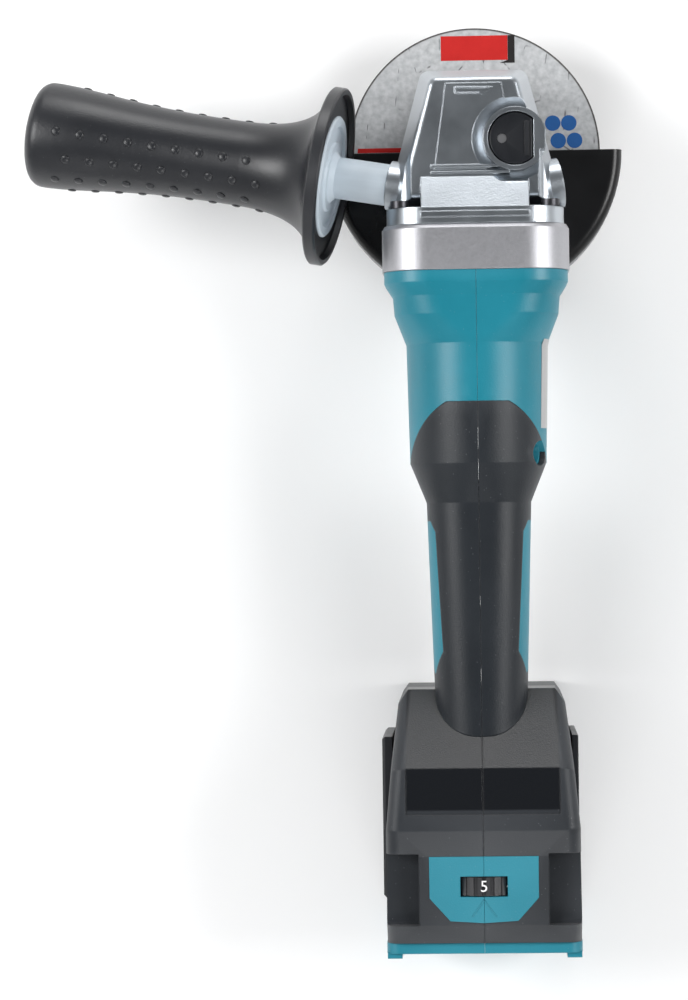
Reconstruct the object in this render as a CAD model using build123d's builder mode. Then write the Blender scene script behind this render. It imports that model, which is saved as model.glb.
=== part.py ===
from build123d import *
import math
import os

os.makedirs("parts", exist_ok=True)

# Frame: origin on the spindle axis in the plane of the wheel's upper face, Z up towards the spindle
# lock, Y forwards towards the front of the head, X to the right seen from above. Millimetres.

# Fits and walls
RUNNING_FIT = 0.05
FREE_GAP = 0.4
SEAM_GAP = 0.06
SHELL_WALL = 2.6
SKIN = 2.0
DUCT_OVERRUN = 2.0

# Wheel and spindle
WHEEL_DIAMETER = 100.0
WHEEL_THICKNESS = 4.0
WHEEL_BORE = 16.0
HUB_RISE = 3.5
HUB_RADIUS = 17.0
HUB_SLOPE = 5.0
SPINDLE_DIAMETER = 10.0
SPINDLE_TIP_Z = -11.0
SPINDLE_JOURNAL = 12.0
SPINDLE_TOP_Z = 58.0
SPINDLE_TOP_DIAMETER = 8.0
FLANGE_DIAMETER = 31.0
FLANGE_THICKNESS = 3.0
FLANGE_HUB_Z = 8.5
NUT_THICKNESS = 5.0
NUT_PIN_HOLE = 4.0
NUT_PIN_SPACING = 20.0

# Bearings
LOWER_BEARING_OD = 32.0
LOWER_BEARING_Z = 12.0
LOWER_BEARING_HEIGHT = 10.0
UPPER_BEARING_OD = 14.0
UPPER_BEARING_Z = 51.0
UPPER_BEARING_HEIGHT = 6.5

# Head
MOTOR_Z = 46.0
HEAD_FRONT_Y = 27.4
HEAD_FRONT_HALF = 20.5
HEAD_MID_Y = -10.0
HEAD_MID_HALF = 30.6
HEAD_REAR_HALF = 33.0
HEAD_BASE_Z = 27.0
HEAD_SHOULDER_Z = 49.0
HEAD_TOP_Z = 67.0
HEAD_DRAFT = 1.5
HEAD_TOP_DRAFT = 15.0
FLANGE_FRONT_Y = -27.5
FLANGE_REAR_Y = -33.8
FLANGE_WIDTH = 67.4
FLANGE_HEIGHT = 57.0
FLANGE_CORNER = 15.0
CHAMBER_RADIUS = 24.4
CHAMBER_STEP_Z = 42.0
CHAMBER_TOP_Z = 59.0
CHAMBER_TOP_RADIUS = 14.0
PINION_TUNNEL = 19.0
HEAD_SCREW_X = 28.4
HEAD_SCREW_RISE = 20.8
HEAD_SCREW_SHANK = 4.0
HEAD_SCREW_HEAD = 7.2
HEAD_SCREW_CLEARANCE = 0.6
HEAD_SCREW_HEAD_HEIGHT = 2.8
HEAD_SCREW_LENGTH = 28.0

# Bearing box and guard
COLLAR_DIAMETER = 42.0
COLLAR_BOTTOM_Z = 6.6
BOX_FLANGE_Z = 21.0
BOX_SCREW_SHANK = 4.0
BOX_SCREW_HEAD = 5.6
BOX_SCREW_GRIP = 8.0
BOX_SCREW_HEIGHT = 2.4
GUARD_RADIUS = 58.4
GUARD_SHEET = 1.6
GUARD_SKIRT_Z = -15.0
GUARD_BEND = 4.0
GUARD_RING_RADIUS = 27.0
BAND_THICKNESS = 1.9
BAND_HEIGHT = 8.0
BAND_SLOT = 3.0
EAR_LENGTH = 5.5
EAR_THICKNESS = 2.2
CLAMP_SCREW_DIAMETER = 4.0

# Bevel gears: straight teeth on two pitch cones that share their apex on the spindle axis
GEAR_TEETH = 37
PINION_TEETH = 11
GEAR_PITCH_RADIUS = 22.5
TOOTH_FACE = 0.64
BLANK_OVERRUN = 0.02
TOOTH_ADDENDUM = 0.95
TOOTH_DEDENDUM = 1.5
TOOTH_FILL = 0.36
TOOTH_FLANK = 20.0

# Spindle lock
BUTTON_RADIUS = 9.8
BUTTON_CENTRE = (15.4, -1.6)
BUTTON_FLAT_X = 22.0
BUTTON_THICKNESS = 3.2
BUTTON_TOP_Z = 68.6
POCKET_FLOOR_Z = 61.4
POCKET_RIM = 2.3
PIN_POSITION = (10.5, -1.6)
PIN_DIAMETER = 3.6
PIN_BOTTOM_Z = 41.0
LOCK_HOLES = 4
LOCK_SPRING_WIRE = 0.6

# Ring, motor housing and collar
RING_REAR_Y = -51.1
RING_WIDTH = 71.2
RING_HEIGHT = 58.0
RING_CORNER = 17.0
FAN_BAY_RADIUS = 25.6
SHOULDER_Y = -55.5
SHOULDER_WIDTH = 70.0
WAIST_FRONT_Y = -60.5
WAIST_REAR_Y = -67.5
WAIST_WIDTH = 62.6
BARREL_Y = -78.5
BARREL_DIAMETER = 54.2
BARREL_REAR_Y = -124.0
BARREL_REAR_DIAMETER = 52.4
COLLAR_TOP_Y = -100.7
COLLAR_SIDE_Y = -129.7
COLLAR_SIDE_Z = 44.0

# Grip
GRIP_FRONT_Y = -139.0
GRIP_FRONT_WIDTH = 40.0
GRIP_REAR_Y = -236.0
GRIP_REAR_WIDTH = 34.0
GRIP_HEIGHT = 44.0
GRIP_CORNER = 15.5
INLAY_FRONT_Y = -146.0
INLAY_REAR_Y = -204.6
INLAY_LOW_Z = 34.0
INLAY_HIGH_Z = 61.5

# Battery base
BASE_FRONT_Y = -210.5
BASE_CORNER_Y = -216.0
BASE_MID_Y = -236.0
BASE_REAR_HALF = 36.6
BASE_MID_HALF = BASE_REAR_HALF - 2.4
BASE_CORNER_HALF = BASE_REAR_HALF - 4.6
BASE_FRONT_HALF = BASE_REAR_HALF - 9.1
BASE_WIDE_Y = -262.0
BASE_REAR_Y = -306.4
BASE_BOTTOM_Z = -32.0
BASE_SLOPE_Z = 50.0
BASE_CREST_Y = -239.0
BASE_CREST_Z = 79.0
BASE_PLATEAU_Y = -262.0
BASE_TOP_Z = 80.0
PANEL_FRONT_Y = -272.0
PANEL_FRONT_Z = 76.0
PANEL_REAR_Y = -298.5
PANEL_REAR_Z = 71.0
BASE_REAR_TOP_Z = 64.0
BASE_EDGE = 5.0
POCKET_INNER_X = BASE_REAR_HALF - 12.1
POCKET_FLOOR_HEIGHT = 66.0
RIM_REAR_Y = -310.4
RIM_WIDTH = 2 * BASE_REAR_HALF + 1.3
RIM_TOP_Z = 62.0

RAIL_OUTER = BASE_REAR_HALF + 0.4
RAIL_REAR_Y = -312.4
TERMINAL_HALF = 18.0
TERMINAL_FRONT_Y = -296.0
TERMINAL_Z = (-6.0, 34.0)
TERMINAL_X = (-11.0, -3.5, 3.5, 11.0)
RECESS_FRONT_Y = -236.5
RECESS_REAR_Y = -256.0
RECESS_HALF = BASE_REAR_HALF - 7.6
DUST_Y = (-291.0, -229.0)
DUST_Z = (-8.0, 44.0)
DUST_DEPTH = 1.9
DUST_PROUD_LEFT = 2.0
DUST_PROUD_RIGHT = 0.4
DUST_SLOTS = 7

# Speed dial
DIAL_RADIUS = 15.0
DIAL_Y = -283.6
DIAL_WIDTH = 7.0
DIAL_Z = 59.6
DIAL_WINDOW = (17.8, 7.8)
DIAL_RIBS = 30
DIAL_SHAFT = 4.0

# Paddle and switch
PADDLE_PIVOT = (-135.0, 19.0)
PADDLE_WIDTH = 26.0
PADDLE_REAR_Y = -203.0
PADDLE_FRONT_Y = -130.5
PADDLE_PIN_DIAMETER = 4.0
PADDLE_PIN_LENGTH = 33.0
LUG_THICKNESS = 3.2
LOCK_LEVER_PIVOT = (-170.0, 12.5)
LOCK_LEVER_WIDTH = 6.0
LOCK_PIN_DIAMETER = 2.4
PLUNGER_DIAMETER = 4.8
PLUNGER_Y = -160.0
SWITCH_SIZE = (14.0, 30.0, 17.0)
SWITCH_FLOOR_Z = 33.0

# Motor
SHAFT_DIAMETER = 8.0
SHAFT_NOSE_DIAMETER = 5.8
ROTOR_RADIUS = 11.0
STATOR_RADIUS = 23.8
STATOR_BORE = 11.5
STATOR_FRONT_Y = -58.0
MOTOR_BAY_REAR_Y = -98.0
STATOR_REAR_Y = -92.0
FAN_RADIUS = 24.6
FRONT_BEARING_OD = 22.0
REAR_BEARING_OD = 19.0
REAR_BEARING_Y = -104.0
REAR_BEARING_WIDTH = 6.0
SLOT_COUNT = 6
FAN_BLADES = 13

# Side handle: leans forwards and its free end drops
HANDLE_SWEEP = 10.1
HANDLE_DROP = 7.5
HANDLE_FACE = (-32.7, -16.7, 47.5)
NECK_DIAMETER = 16.0
NECK_LENGTH = 22.0
DISC_DIAMETER = 47.0
COLLAR_DISC_DIAMETER = 68.9
COLLAR_DISC_THICKNESS = 4.0
HANDLE_LENGTH = 121.0
HANDLE_WAIST_DIAMETER = 31.0
HANDLE_END_DIAMETER = 41.0
STUD_DIAMETER = 8.0
STUD_ENGAGEMENT = 11.0
BOSS_DIAMETER = 19.0

SPINDLE_AXIS = Axis.Z
MOTOR_AXIS = Axis((0, 0, MOTOR_Z), (0, 1, 0))


def save(part, name):
    """Label one finished piece and write it out."""
    part.label = name
    export_step(part, "parts/" + name + ".step")


def same(a, b):
    """Whether two lengths are the same to a hundredth of a millimetre."""
    return abs(a - b) < 0.01


def outline_face(points):
    """Closed straight-sided face in the active sketch, wound so that its normal is the plane's."""
    ends = points[1:] + points[:1]
    doubled_area = sum(a[0] * b[1] - b[0] * a[1] for a, b in zip(points, ends))
    Polygon(*(points if doubled_area > 0 else points[::-1]), align=None)


def turned(points, plane, axis, arc=360.0, mode=Mode.ADD):
    """Solid of revolution from a profile drawn in a plane that holds the axis."""
    with BuildSketch(plane) as profile:
        outline_face(points)
    revolve(profile.sketch, axis=axis, revolution_arc=arc, mode=mode)


def motor_ring(y_rear, y_front, inner, outer, mode=Mode.ADD):
    """Ring or disc round the motor axis between two stations."""
    with BuildSketch(Plane.XZ.offset(-y_front)) as ring:
        with Locations((0, MOTOR_Z)):
            Circle(outer)
            if inner > 0:
                Circle(inner, mode=Mode.SUBTRACT)
    extrude(ring.sketch, amount=y_front - y_rear, mode=mode)


def spindle_ring(z_low, z_high, inner, outer, mode=Mode.ADD):
    """Ring or disc round the spindle axis between two heights."""
    with BuildSketch(Plane.XY.offset(z_low)) as ring:
        Circle(outer)
        if inner > 0:
            Circle(inner, mode=Mode.SUBTRACT)
    extrude(ring.sketch, amount=z_high - z_low, mode=mode)


def block(x_range, y_range, z_range, mode=Mode.ADD):
    """Rectangular block between pairs of limits."""
    with BuildSketch(Plane.XY.offset(z_range[0])) as plan:
        with Locations(((x_range[0] + x_range[1]) / 2, (y_range[0] + y_range[1]) / 2)):
            Rectangle(x_range[1] - x_range[0], y_range[1] - y_range[0])
    extrude(plan.sketch, amount=z_range[1] - z_range[0], mode=mode)


# ---------------------------------------------------------------- spindle group
NUT_TOP_Z = HUB_RISE - WHEEL_THICKNESS
JOURNAL_RADIUS = SPINDLE_JOURNAL / 2 - RUNNING_FIT
GEAR_SEAT_Z = 30.0
GEAR_SEAT_TOP_Z = 40.5
GEAR_SEAT_RADIUS = 5.0

with BuildPart() as spindle:
    spindle_ring(SPINDLE_TIP_Z, FLANGE_HUB_Z, 0, SPINDLE_DIAMETER / 2)
    spindle_ring(FLANGE_HUB_Z, GEAR_SEAT_Z, 0, JOURNAL_RADIUS)
    spindle_ring(GEAR_SEAT_Z, GEAR_SEAT_TOP_Z, 0, GEAR_SEAT_RADIUS)
    spindle_ring(GEAR_SEAT_TOP_Z, SPINDLE_TOP_Z - 1.0, 0, SPINDLE_TOP_DIAMETER / 2 - RUNNING_FIT)
    chamfer(spindle.edges().sort_by(Axis.Z)[0], length=1.0)
save(spindle.part, "spindle")

with BuildPart() as inner_flange:
    spindle_ring(HUB_RISE, HUB_RISE + FLANGE_THICKNESS, SPINDLE_DIAMETER / 2, FLANGE_DIAMETER / 2)
    spindle_ring(HUB_RISE + FLANGE_THICKNESS, FLANGE_HUB_Z, SPINDLE_DIAMETER / 2, 9.0)
    spindle_ring(NUT_TOP_Z + 1.2, HUB_RISE, SPINDLE_DIAMETER / 2, WHEEL_BORE / 2 - RUNNING_FIT)
save(inner_flange.part, "inner_flange")

WHEEL_RADIUS = WHEEL_DIAMETER / 2
with BuildPart() as grinding_wheel:
    turned(
        [
            (WHEEL_BORE / 2, HUB_RISE),
            (HUB_RADIUS, HUB_RISE),
            (HUB_RADIUS + HUB_SLOPE, 0),
            (WHEEL_RADIUS, 0),
            (WHEEL_RADIUS, -WHEEL_THICKNESS),
            (HUB_RADIUS + HUB_SLOPE - 1.0, -WHEEL_THICKNESS),
            (HUB_RADIUS - 1.0, HUB_RISE - WHEEL_THICKNESS),
            (WHEEL_BORE / 2, HUB_RISE - WHEEL_THICKNESS),
        ],
        Plane.XZ,
        SPINDLE_AXIS,
    )
save(grinding_wheel.part, "grinding_wheel")

with BuildPart() as lock_nut:
    spindle_ring(NUT_TOP_Z - NUT_THICKNESS, NUT_TOP_Z, SPINDLE_DIAMETER / 2, FLANGE_DIAMETER / 2 - 1.0)
    chamfer(lock_nut.edges().filter_by(GeomType.CIRCLE).sort_by(Axis.Z)[0:2], length=0.8)
    with BuildSketch(Plane.XY.offset(NUT_TOP_Z - NUT_THICKNESS)):
        with Locations((NUT_PIN_SPACING / 2, 0), (-NUT_PIN_SPACING / 2, 0)):
            Circle(NUT_PIN_HOLE / 2)
    extrude(amount=NUT_THICKNESS, mode=Mode.SUBTRACT)
save(lock_nut.part, "lock_nut")

with BuildPart() as dust_ring:
    spindle_ring(FLANGE_HUB_Z, LOWER_BEARING_Z - FREE_GAP, JOURNAL_RADIUS, 10.0)
save(dust_ring.part, "dust_ring")


def sealed_bearing_race(inner, outer):
    """Radii of the shield recess between a bearing's two races."""
    width = outer - inner
    return inner + 0.22 * width, outer - 0.22 * width


lower_recess = sealed_bearing_race(SPINDLE_JOURNAL / 2, LOWER_BEARING_OD / 2)
with BuildPart() as spindle_bearing_lower:
    lower_bearing_top = LOWER_BEARING_Z + LOWER_BEARING_HEIGHT
    spindle_ring(LOWER_BEARING_Z, lower_bearing_top, SPINDLE_JOURNAL / 2, LOWER_BEARING_OD / 2)
    spindle_ring(lower_bearing_top - 0.6, lower_bearing_top, *lower_recess, mode=Mode.SUBTRACT)
    spindle_ring(LOWER_BEARING_Z, LOWER_BEARING_Z + 0.6, *lower_recess, mode=Mode.SUBTRACT)
save(spindle_bearing_lower.part, "spindle_bearing_lower")

with BuildPart() as spindle_bearing_upper:
    upper_bearing_top = UPPER_BEARING_Z + UPPER_BEARING_HEIGHT
    spindle_ring(UPPER_BEARING_Z, upper_bearing_top, SPINDLE_TOP_DIAMETER / 2, UPPER_BEARING_OD / 2)
save(spindle_bearing_upper.part, "spindle_bearing_upper")

# ---------------------------------------------------------------- bevel gears
gear_cone = math.atan(GEAR_TEETH / PINION_TEETH)
pinion_cone = math.pi / 2 - gear_cone
CONE_DISTANCE = GEAR_PITCH_RADIUS / math.sin(gear_cone)
TOOTH_PITCH = 2 * math.pi * GEAR_PITCH_RADIUS / GEAR_TEETH


def tooth_profile(scale):
    """Trapezoid tooth outline, its pitch line on the local X axis."""
    half = TOOTH_PITCH * TOOTH_FILL * scale / 2
    slope = math.tan(math.radians(TOOTH_FLANK))
    tip = TOOTH_ADDENDUM * scale
    root = (TOOTH_DEDENDUM + 0.5) * scale
    outline_face(
        [
            (-half - root * slope, -root),
            (half + root * slope, -root),
            (half - tip * slope, tip),
            (-half + tip * slope, tip),
        ]
    )


def bevel_tooth(along, outward):
    """One tooth, tapering towards the cone apex."""
    apex = Vector(0, 0, MOTOR_Z)
    across = outward.cross(along)
    sections = []
    for scale in (1.0, TOOTH_FACE):
        station = Plane(origin=apex + along * (CONE_DISTANCE * scale), x_dir=across, z_dir=along)
        with BuildSketch(station, mode=Mode.PRIVATE) as section:
            tooth_profile(scale)
        sections.append(section.sketch)
    with BuildPart(mode=Mode.PRIVATE) as tooth:
        loft(sections)
    return tooth.part


def cone_point(cone, distance, offset_down):
    """Radius and distance from the apex, along the axis, of a point below the pitch line."""
    radius = distance * math.sin(cone) - offset_down * math.cos(cone)
    depth = distance * math.cos(cone) + offset_down * math.sin(cone)
    return radius, depth


gear_along = Vector(0, -math.sin(gear_cone), -math.cos(gear_cone))
gear_outward = Vector(0, -math.cos(gear_cone), math.sin(gear_cone))
gear_tooth = bevel_tooth(gear_along, gear_outward)
pinion_along = Vector(0, -math.cos(pinion_cone), -math.sin(pinion_cone))
pinion_outward = Vector(0, math.sin(pinion_cone), -math.cos(pinion_cone))
pinion_tooth = bevel_tooth(pinion_along, pinion_outward)

gear_outer = cone_point(gear_cone, CONE_DISTANCE, TOOTH_DEDENDUM)
gear_blank_inner = TOOTH_FACE - BLANK_OVERRUN
gear_inner = cone_point(gear_cone, CONE_DISTANCE * gear_blank_inner, TOOTH_DEDENDUM * gear_blank_inner)
GEAR_WEB_Z = 39.0
PIN_RADIUS = math.hypot(PIN_POSITION[0], PIN_POSITION[1])
PIN_BEARING = math.degrees(math.atan2(PIN_POSITION[1], PIN_POSITION[0]))
GEAR_HUB_RADIUS = 8.0
with BuildPart() as bevel_gear:
    turned(
        [
            (GEAR_SEAT_RADIUS, GEAR_SEAT_Z),
            (GEAR_HUB_RADIUS + 2.0, GEAR_SEAT_Z),
            (GEAR_HUB_RADIUS + 4.0, GEAR_SEAT_Z + 3.0),
            (gear_outer[0] - 0.4, MOTOR_Z - gear_outer[1] - 3.0),
            (gear_outer[0], MOTOR_Z - gear_outer[1]),
            (gear_inner[0], MOTOR_Z - gear_inner[1]),
            (gear_inner[0], GEAR_WEB_Z),
            (GEAR_HUB_RADIUS, GEAR_WEB_Z),
            (GEAR_HUB_RADIUS, GEAR_SEAT_TOP_Z),
            (GEAR_SEAT_RADIUS, GEAR_SEAT_TOP_Z),
        ],
        Plane.XZ,
        SPINDLE_AXIS,
    )
    for index in range(GEAR_TEETH):
        add(gear_tooth.rotate(SPINDLE_AXIS, (index + 0.5) * 360 / GEAR_TEETH))
    with BuildSketch(Plane.XY.offset(GEAR_SEAT_Z)):
        with PolarLocations(PIN_RADIUS, LOCK_HOLES, start_angle=PIN_BEARING):
            Circle(PIN_DIAMETER / 2 + FREE_GAP)
    extrude(amount=15.0, mode=Mode.SUBTRACT)
save(bevel_gear.part, "bevel_gear")

pinion_outer = cone_point(pinion_cone, CONE_DISTANCE, TOOTH_DEDENDUM)
pinion_inner = cone_point(pinion_cone, CONE_DISTANCE * TOOTH_FACE, TOOTH_DEDENDUM * TOOTH_FACE)
NOSE_RADIUS = SHAFT_NOSE_DIAMETER / 2
PINION_HUB_Y = FLANGE_FRONT_Y + 1.0
with BuildPart() as pinion:
    turned(
        [
            (-pinion_inner[1], MOTOR_Z + NOSE_RADIUS),
            (-pinion_inner[1], MOTOR_Z + pinion_inner[0]),
            (-pinion_outer[1], MOTOR_Z + pinion_outer[0]),
            (PINION_HUB_Y, MOTOR_Z + pinion_outer[0]),
            (PINION_HUB_Y, MOTOR_Z + NOSE_RADIUS),
        ],
        Plane.YZ,
        MOTOR_AXIS,
    )
    for index in range(PINION_TEETH):
        add(pinion_tooth.rotate(MOTOR_AXIS, index * 360 / PINION_TEETH))
save(pinion.part, "pinion")

# ---------------------------------------------------------------- head
handle_sweep = math.radians(HANDLE_SWEEP)
handle_drop = math.radians(HANDLE_DROP)
HANDLE_DIRECTION = Vector(
    -math.cos(handle_sweep) * math.cos(handle_drop),
    math.sin(handle_sweep) * math.cos(handle_drop),
    -math.sin(handle_drop),
)
HANDLE_ORIGIN = Vector(*HANDLE_FACE)
RIGHT_DIRECTION = Vector(-HANDLE_DIRECTION.X, HANDLE_DIRECTION.Y, HANDLE_DIRECTION.Z)
RIGHT_ORIGIN = Vector(-HANDLE_ORIGIN.X, HANDLE_ORIGIN.Y, HANDLE_ORIGIN.Z)


def head_outline(inset):
    """Plan outline of the cast head, shrunk by inset."""
    outline_face(
        [
            (-HEAD_FRONT_HALF, HEAD_FRONT_Y),
            (HEAD_FRONT_HALF, HEAD_FRONT_Y),
            (HEAD_MID_HALF, HEAD_MID_Y),
            (HEAD_REAR_HALF, FLANGE_FRONT_Y - 1.0),
            (-HEAD_REAR_HALF, FLANGE_FRONT_Y - 1.0),
            (-HEAD_MID_HALF, HEAD_MID_Y),
        ]
    )
    if inset > 0:
        offset(amount=-inset, kind=Kind.INTERSECTION)


def button_outline(grow):
    """D-shaped outline of the lock button, grown by a clearance."""
    with Locations(BUTTON_CENTRE):
        Circle(BUTTON_RADIUS + grow)
    with Locations((BUTTON_FLAT_X + grow + BUTTON_RADIUS, BUTTON_CENTRE[1])):
        Rectangle(2 * BUTTON_RADIUS, 4 * BUTTON_RADIUS, mode=Mode.SUBTRACT)


def screw_places():
    """Places of the four head screws, seen along the motor axis."""
    rise = HEAD_SCREW_RISE
    return [(x, MOTOR_Z + z) for x in (-HEAD_SCREW_X, HEAD_SCREW_X) for z in (-rise, rise)]


BOX_SCREW_PLACES = [(-19.3, 19.2), (19.3, 19.2), (-25.6, -13.6), (25.6, -13.6)]
HEAD_LOWER_HEIGHT = HEAD_SHOULDER_Z - HEAD_BASE_Z
HEAD_SHOULDER_INSET = HEAD_LOWER_HEIGHT * math.tan(math.radians(HEAD_DRAFT))
ROOF_PANEL = [(-10.6, 19.8), (10.6, 19.8), (15.2, -13.0), (-15.2, -13.0)]
PANEL_RISE = 0.5
ARROW_OUTLINE = [(-7.2, 18.4), (7.2, 18.1), (3.0, 14.6), (1.9, 15.7), (-7.2, 15.7)]
ARROW_LINE = 0.5
ARROW_RISE = 0.35
DISH_WIDTH = 6.0
DISH_DEPTH = 2.2
RAMP_FRONT_Y = -15.6
RAMP_HALF = 20.4
FLANGE_BAR_HALF = 20.5
FLANGE_BAR_Y = (-31.4, -29.2)
FLANGE_BAR_RISE = 0.8
SLAT_LENGTH = 30.0
SLAT_OFFSET = -1.6
SLAT_WIDTH = 1.0
SLAT_RISE = 0.7
SLAT_Y = (-11.6, -14.0)
with BuildPart() as gear_housing:
    with BuildSketch(Plane.XY.offset(HEAD_BASE_Z)):
        head_outline(0)
    extrude(amount=HEAD_LOWER_HEIGHT, taper=HEAD_DRAFT)
    with BuildSketch(Plane.XY.offset(HEAD_SHOULDER_Z)):
        head_outline(HEAD_SHOULDER_INSET)
    extrude(amount=HEAD_TOP_Z - HEAD_SHOULDER_Z, taper=HEAD_TOP_DRAFT)
    front_corners = gear_housing.edges().filter_by(Plane.XY, reverse=True).sort_by(Axis.Y)[-4:]
    fillet(front_corners, radius=4.0)
    roof_edges = gear_housing.faces().sort_by(Axis.Z)[-1].edges()
    fillet(roof_edges, radius=2.5)
    # Rear flange
    with BuildSketch(Plane.XZ.offset(-FLANGE_FRONT_Y)):
        with Locations((0, MOTOR_Z)):
            RectangleRounded(FLANGE_WIDTH, FLANGE_HEIGHT, FLANGE_CORNER)
    extrude(amount=FLANGE_FRONT_Y - FLANGE_REAR_Y)
    # Ramp up to the flange
    with BuildSketch(Plane.YZ):
        outline_face(
            [
                (RAMP_FRONT_Y, HEAD_TOP_Z - 2.0),
                (RAMP_FRONT_Y, HEAD_TOP_Z + 0.6),
                (FLANGE_FRONT_Y, MOTOR_Z + FLANGE_HEIGHT / 2 - 1.4),
                (FLANGE_FRONT_Y, HEAD_TOP_Z - 2.0),
            ]
        )
    extrude(amount=RAMP_HALF, both=True)
    # Raised bar across the top of the flange
    bar_z = MOTOR_Z + FLANGE_HEIGHT / 2
    block((-FLANGE_BAR_HALF, FLANGE_BAR_HALF), FLANGE_BAR_Y, (bar_z - 1.0, bar_z + FLANGE_BAR_RISE))
    # Raised centre panel of the roof, with an arrow that shows which way the spindle turns
    with BuildSketch(Plane.XY.offset(HEAD_TOP_Z)):
        outline_face(ROOF_PANEL)
    extrude(amount=PANEL_RISE)
    with BuildSketch(Plane.XY.offset(HEAD_TOP_Z + PANEL_RISE)):
        outline_face(ARROW_OUTLINE)
        offset(amount=-ARROW_LINE, kind=Kind.INTERSECTION, mode=Mode.SUBTRACT)
    extrude(amount=ARROW_RISE)
    # Dish round the button rim
    with BuildSketch(Plane.XZ.offset(-BUTTON_CENTRE[1])) as dish_profile:
        with BuildLine():
            dish_inner = BUTTON_CENTRE[0] + BUTTON_RADIUS + POCKET_RIM - 1.0
            dish_outer = dish_inner + DISH_WIDTH
            dish_top = HEAD_TOP_Z + PANEL_RISE + 1.0
            Line((dish_inner, dish_top), (dish_inner, HEAD_TOP_Z - DISH_DEPTH))
            Bezier(
                (dish_inner, HEAD_TOP_Z - DISH_DEPTH),
                (dish_inner + 0.5 * DISH_WIDTH, HEAD_TOP_Z - DISH_DEPTH),
                (dish_outer, dish_top),
            )
            Line((dish_outer, dish_top), (dish_inner, dish_top))
        make_face()
    revolve(axis=Axis((BUTTON_CENTRE[0], BUTTON_CENTRE[1], 0), (0, 0, 1)), mode=Mode.SUBTRACT)
    # Two cast slats across the roof
    for slat_y in SLAT_Y:
        slat_x = (SLAT_OFFSET - SLAT_LENGTH / 2, SLAT_OFFSET + SLAT_LENGTH / 2)
        slat_z = (HEAD_TOP_Z - 1.0, HEAD_TOP_Z + SLAT_RISE)
        block(slat_x, (slat_y - SLAT_WIDTH / 2, slat_y + SLAT_WIDTH / 2), slat_z)
    # Button rim
    with BuildSketch(Plane.XY.offset(HEAD_SHOULDER_Z)):
        with Locations(BUTTON_CENTRE):
            Circle(BUTTON_RADIUS + POCKET_RIM)
        with Locations((BUTTON_FLAT_X + 5.0 + BUTTON_RADIUS, BUTTON_CENTRE[1])):
            Rectangle(2 * BUTTON_RADIUS, 4 * BUTTON_RADIUS, mode=Mode.SUBTRACT)
    extrude(amount=BUTTON_TOP_Z + 0.4 - HEAD_SHOULDER_Z)
    # Handle bosses on both sides
    for origin, direction in ((HANDLE_ORIGIN, HANDLE_DIRECTION), (RIGHT_ORIGIN, RIGHT_DIRECTION)):
        with BuildSketch(Plane(origin=origin, z_dir=direction)):
            Circle(BOSS_DIAMETER / 2)
        extrude(amount=-7.0)
    # Gear chamber, tunnel and bearing seats
    turned(
        [
            (0, HEAD_BASE_Z),
            (CHAMBER_RADIUS, HEAD_BASE_Z),
            (CHAMBER_RADIUS, CHAMBER_STEP_Z),
            (CHAMBER_TOP_RADIUS, CHAMBER_TOP_Z),
            (0, CHAMBER_TOP_Z),
        ],
        Plane.XZ,
        SPINDLE_AXIS,
        mode=Mode.SUBTRACT,
    )
    motor_ring(FLANGE_FRONT_Y + 0.4, -12.0, 0, PINION_TUNNEL / 2, mode=Mode.SUBTRACT)
    motor_ring(FLANGE_REAR_Y, FLANGE_FRONT_Y + 0.4, 0, FRONT_BEARING_OD / 2, mode=Mode.SUBTRACT)
    spindle_ring(UPPER_BEARING_Z, CHAMBER_TOP_Z + 1.0, UPPER_BEARING_OD / 2, UPPER_BEARING_OD / 2 + 1.6)
    spindle_ring(UPPER_BEARING_Z - 1.0, CHAMBER_TOP_Z, 0, UPPER_BEARING_OD / 2, mode=Mode.SUBTRACT)
    # Button pocket and pin bore
    with BuildSketch(Plane.XY.offset(POCKET_FLOOR_Z)):
        button_outline(FREE_GAP)
    extrude(amount=20.0, mode=Mode.SUBTRACT)
    with BuildSketch(Plane.XY.offset(CHAMBER_STEP_Z)):
        with Locations(PIN_POSITION):
            Circle(PIN_DIAMETER / 2 + RUNNING_FIT)
    extrude(amount=40.0, mode=Mode.SUBTRACT)
    # Holes for the bearing box screws, from below
    with BuildSketch(Plane.XY.offset(HEAD_BASE_Z)):
        with Locations(*BOX_SCREW_PLACES):
            Circle(BOX_SCREW_SHANK / 2)
    extrude(amount=BOX_SCREW_GRIP, mode=Mode.SUBTRACT)
    # Screw channels, screw holes and handle threads
    with BuildSketch(Plane.XZ.offset(6.0)):
        with Locations(*screw_places()):
            Circle(HEAD_SCREW_HEAD / 2 + HEAD_SCREW_CLEARANCE)
    extrude(amount=-FLANGE_FRONT_Y - 6.0, mode=Mode.SUBTRACT)
    with BuildSketch(Plane.XZ.offset(-FLANGE_FRONT_Y)):
        with Locations(*screw_places()):
            Circle(HEAD_SCREW_SHANK / 2 + RUNNING_FIT)
    extrude(amount=20.0, mode=Mode.SUBTRACT)
    for origin, direction in ((HANDLE_ORIGIN, HANDLE_DIRECTION), (RIGHT_ORIGIN, RIGHT_DIRECTION)):
        with BuildSketch(Plane(origin=origin, z_dir=direction)):
            Circle(STUD_DIAMETER / 2)
        extrude(amount=-STUD_ENGAGEMENT - 1.0, mode=Mode.SUBTRACT)
save(gear_housing.part, "gear_housing")

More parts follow.
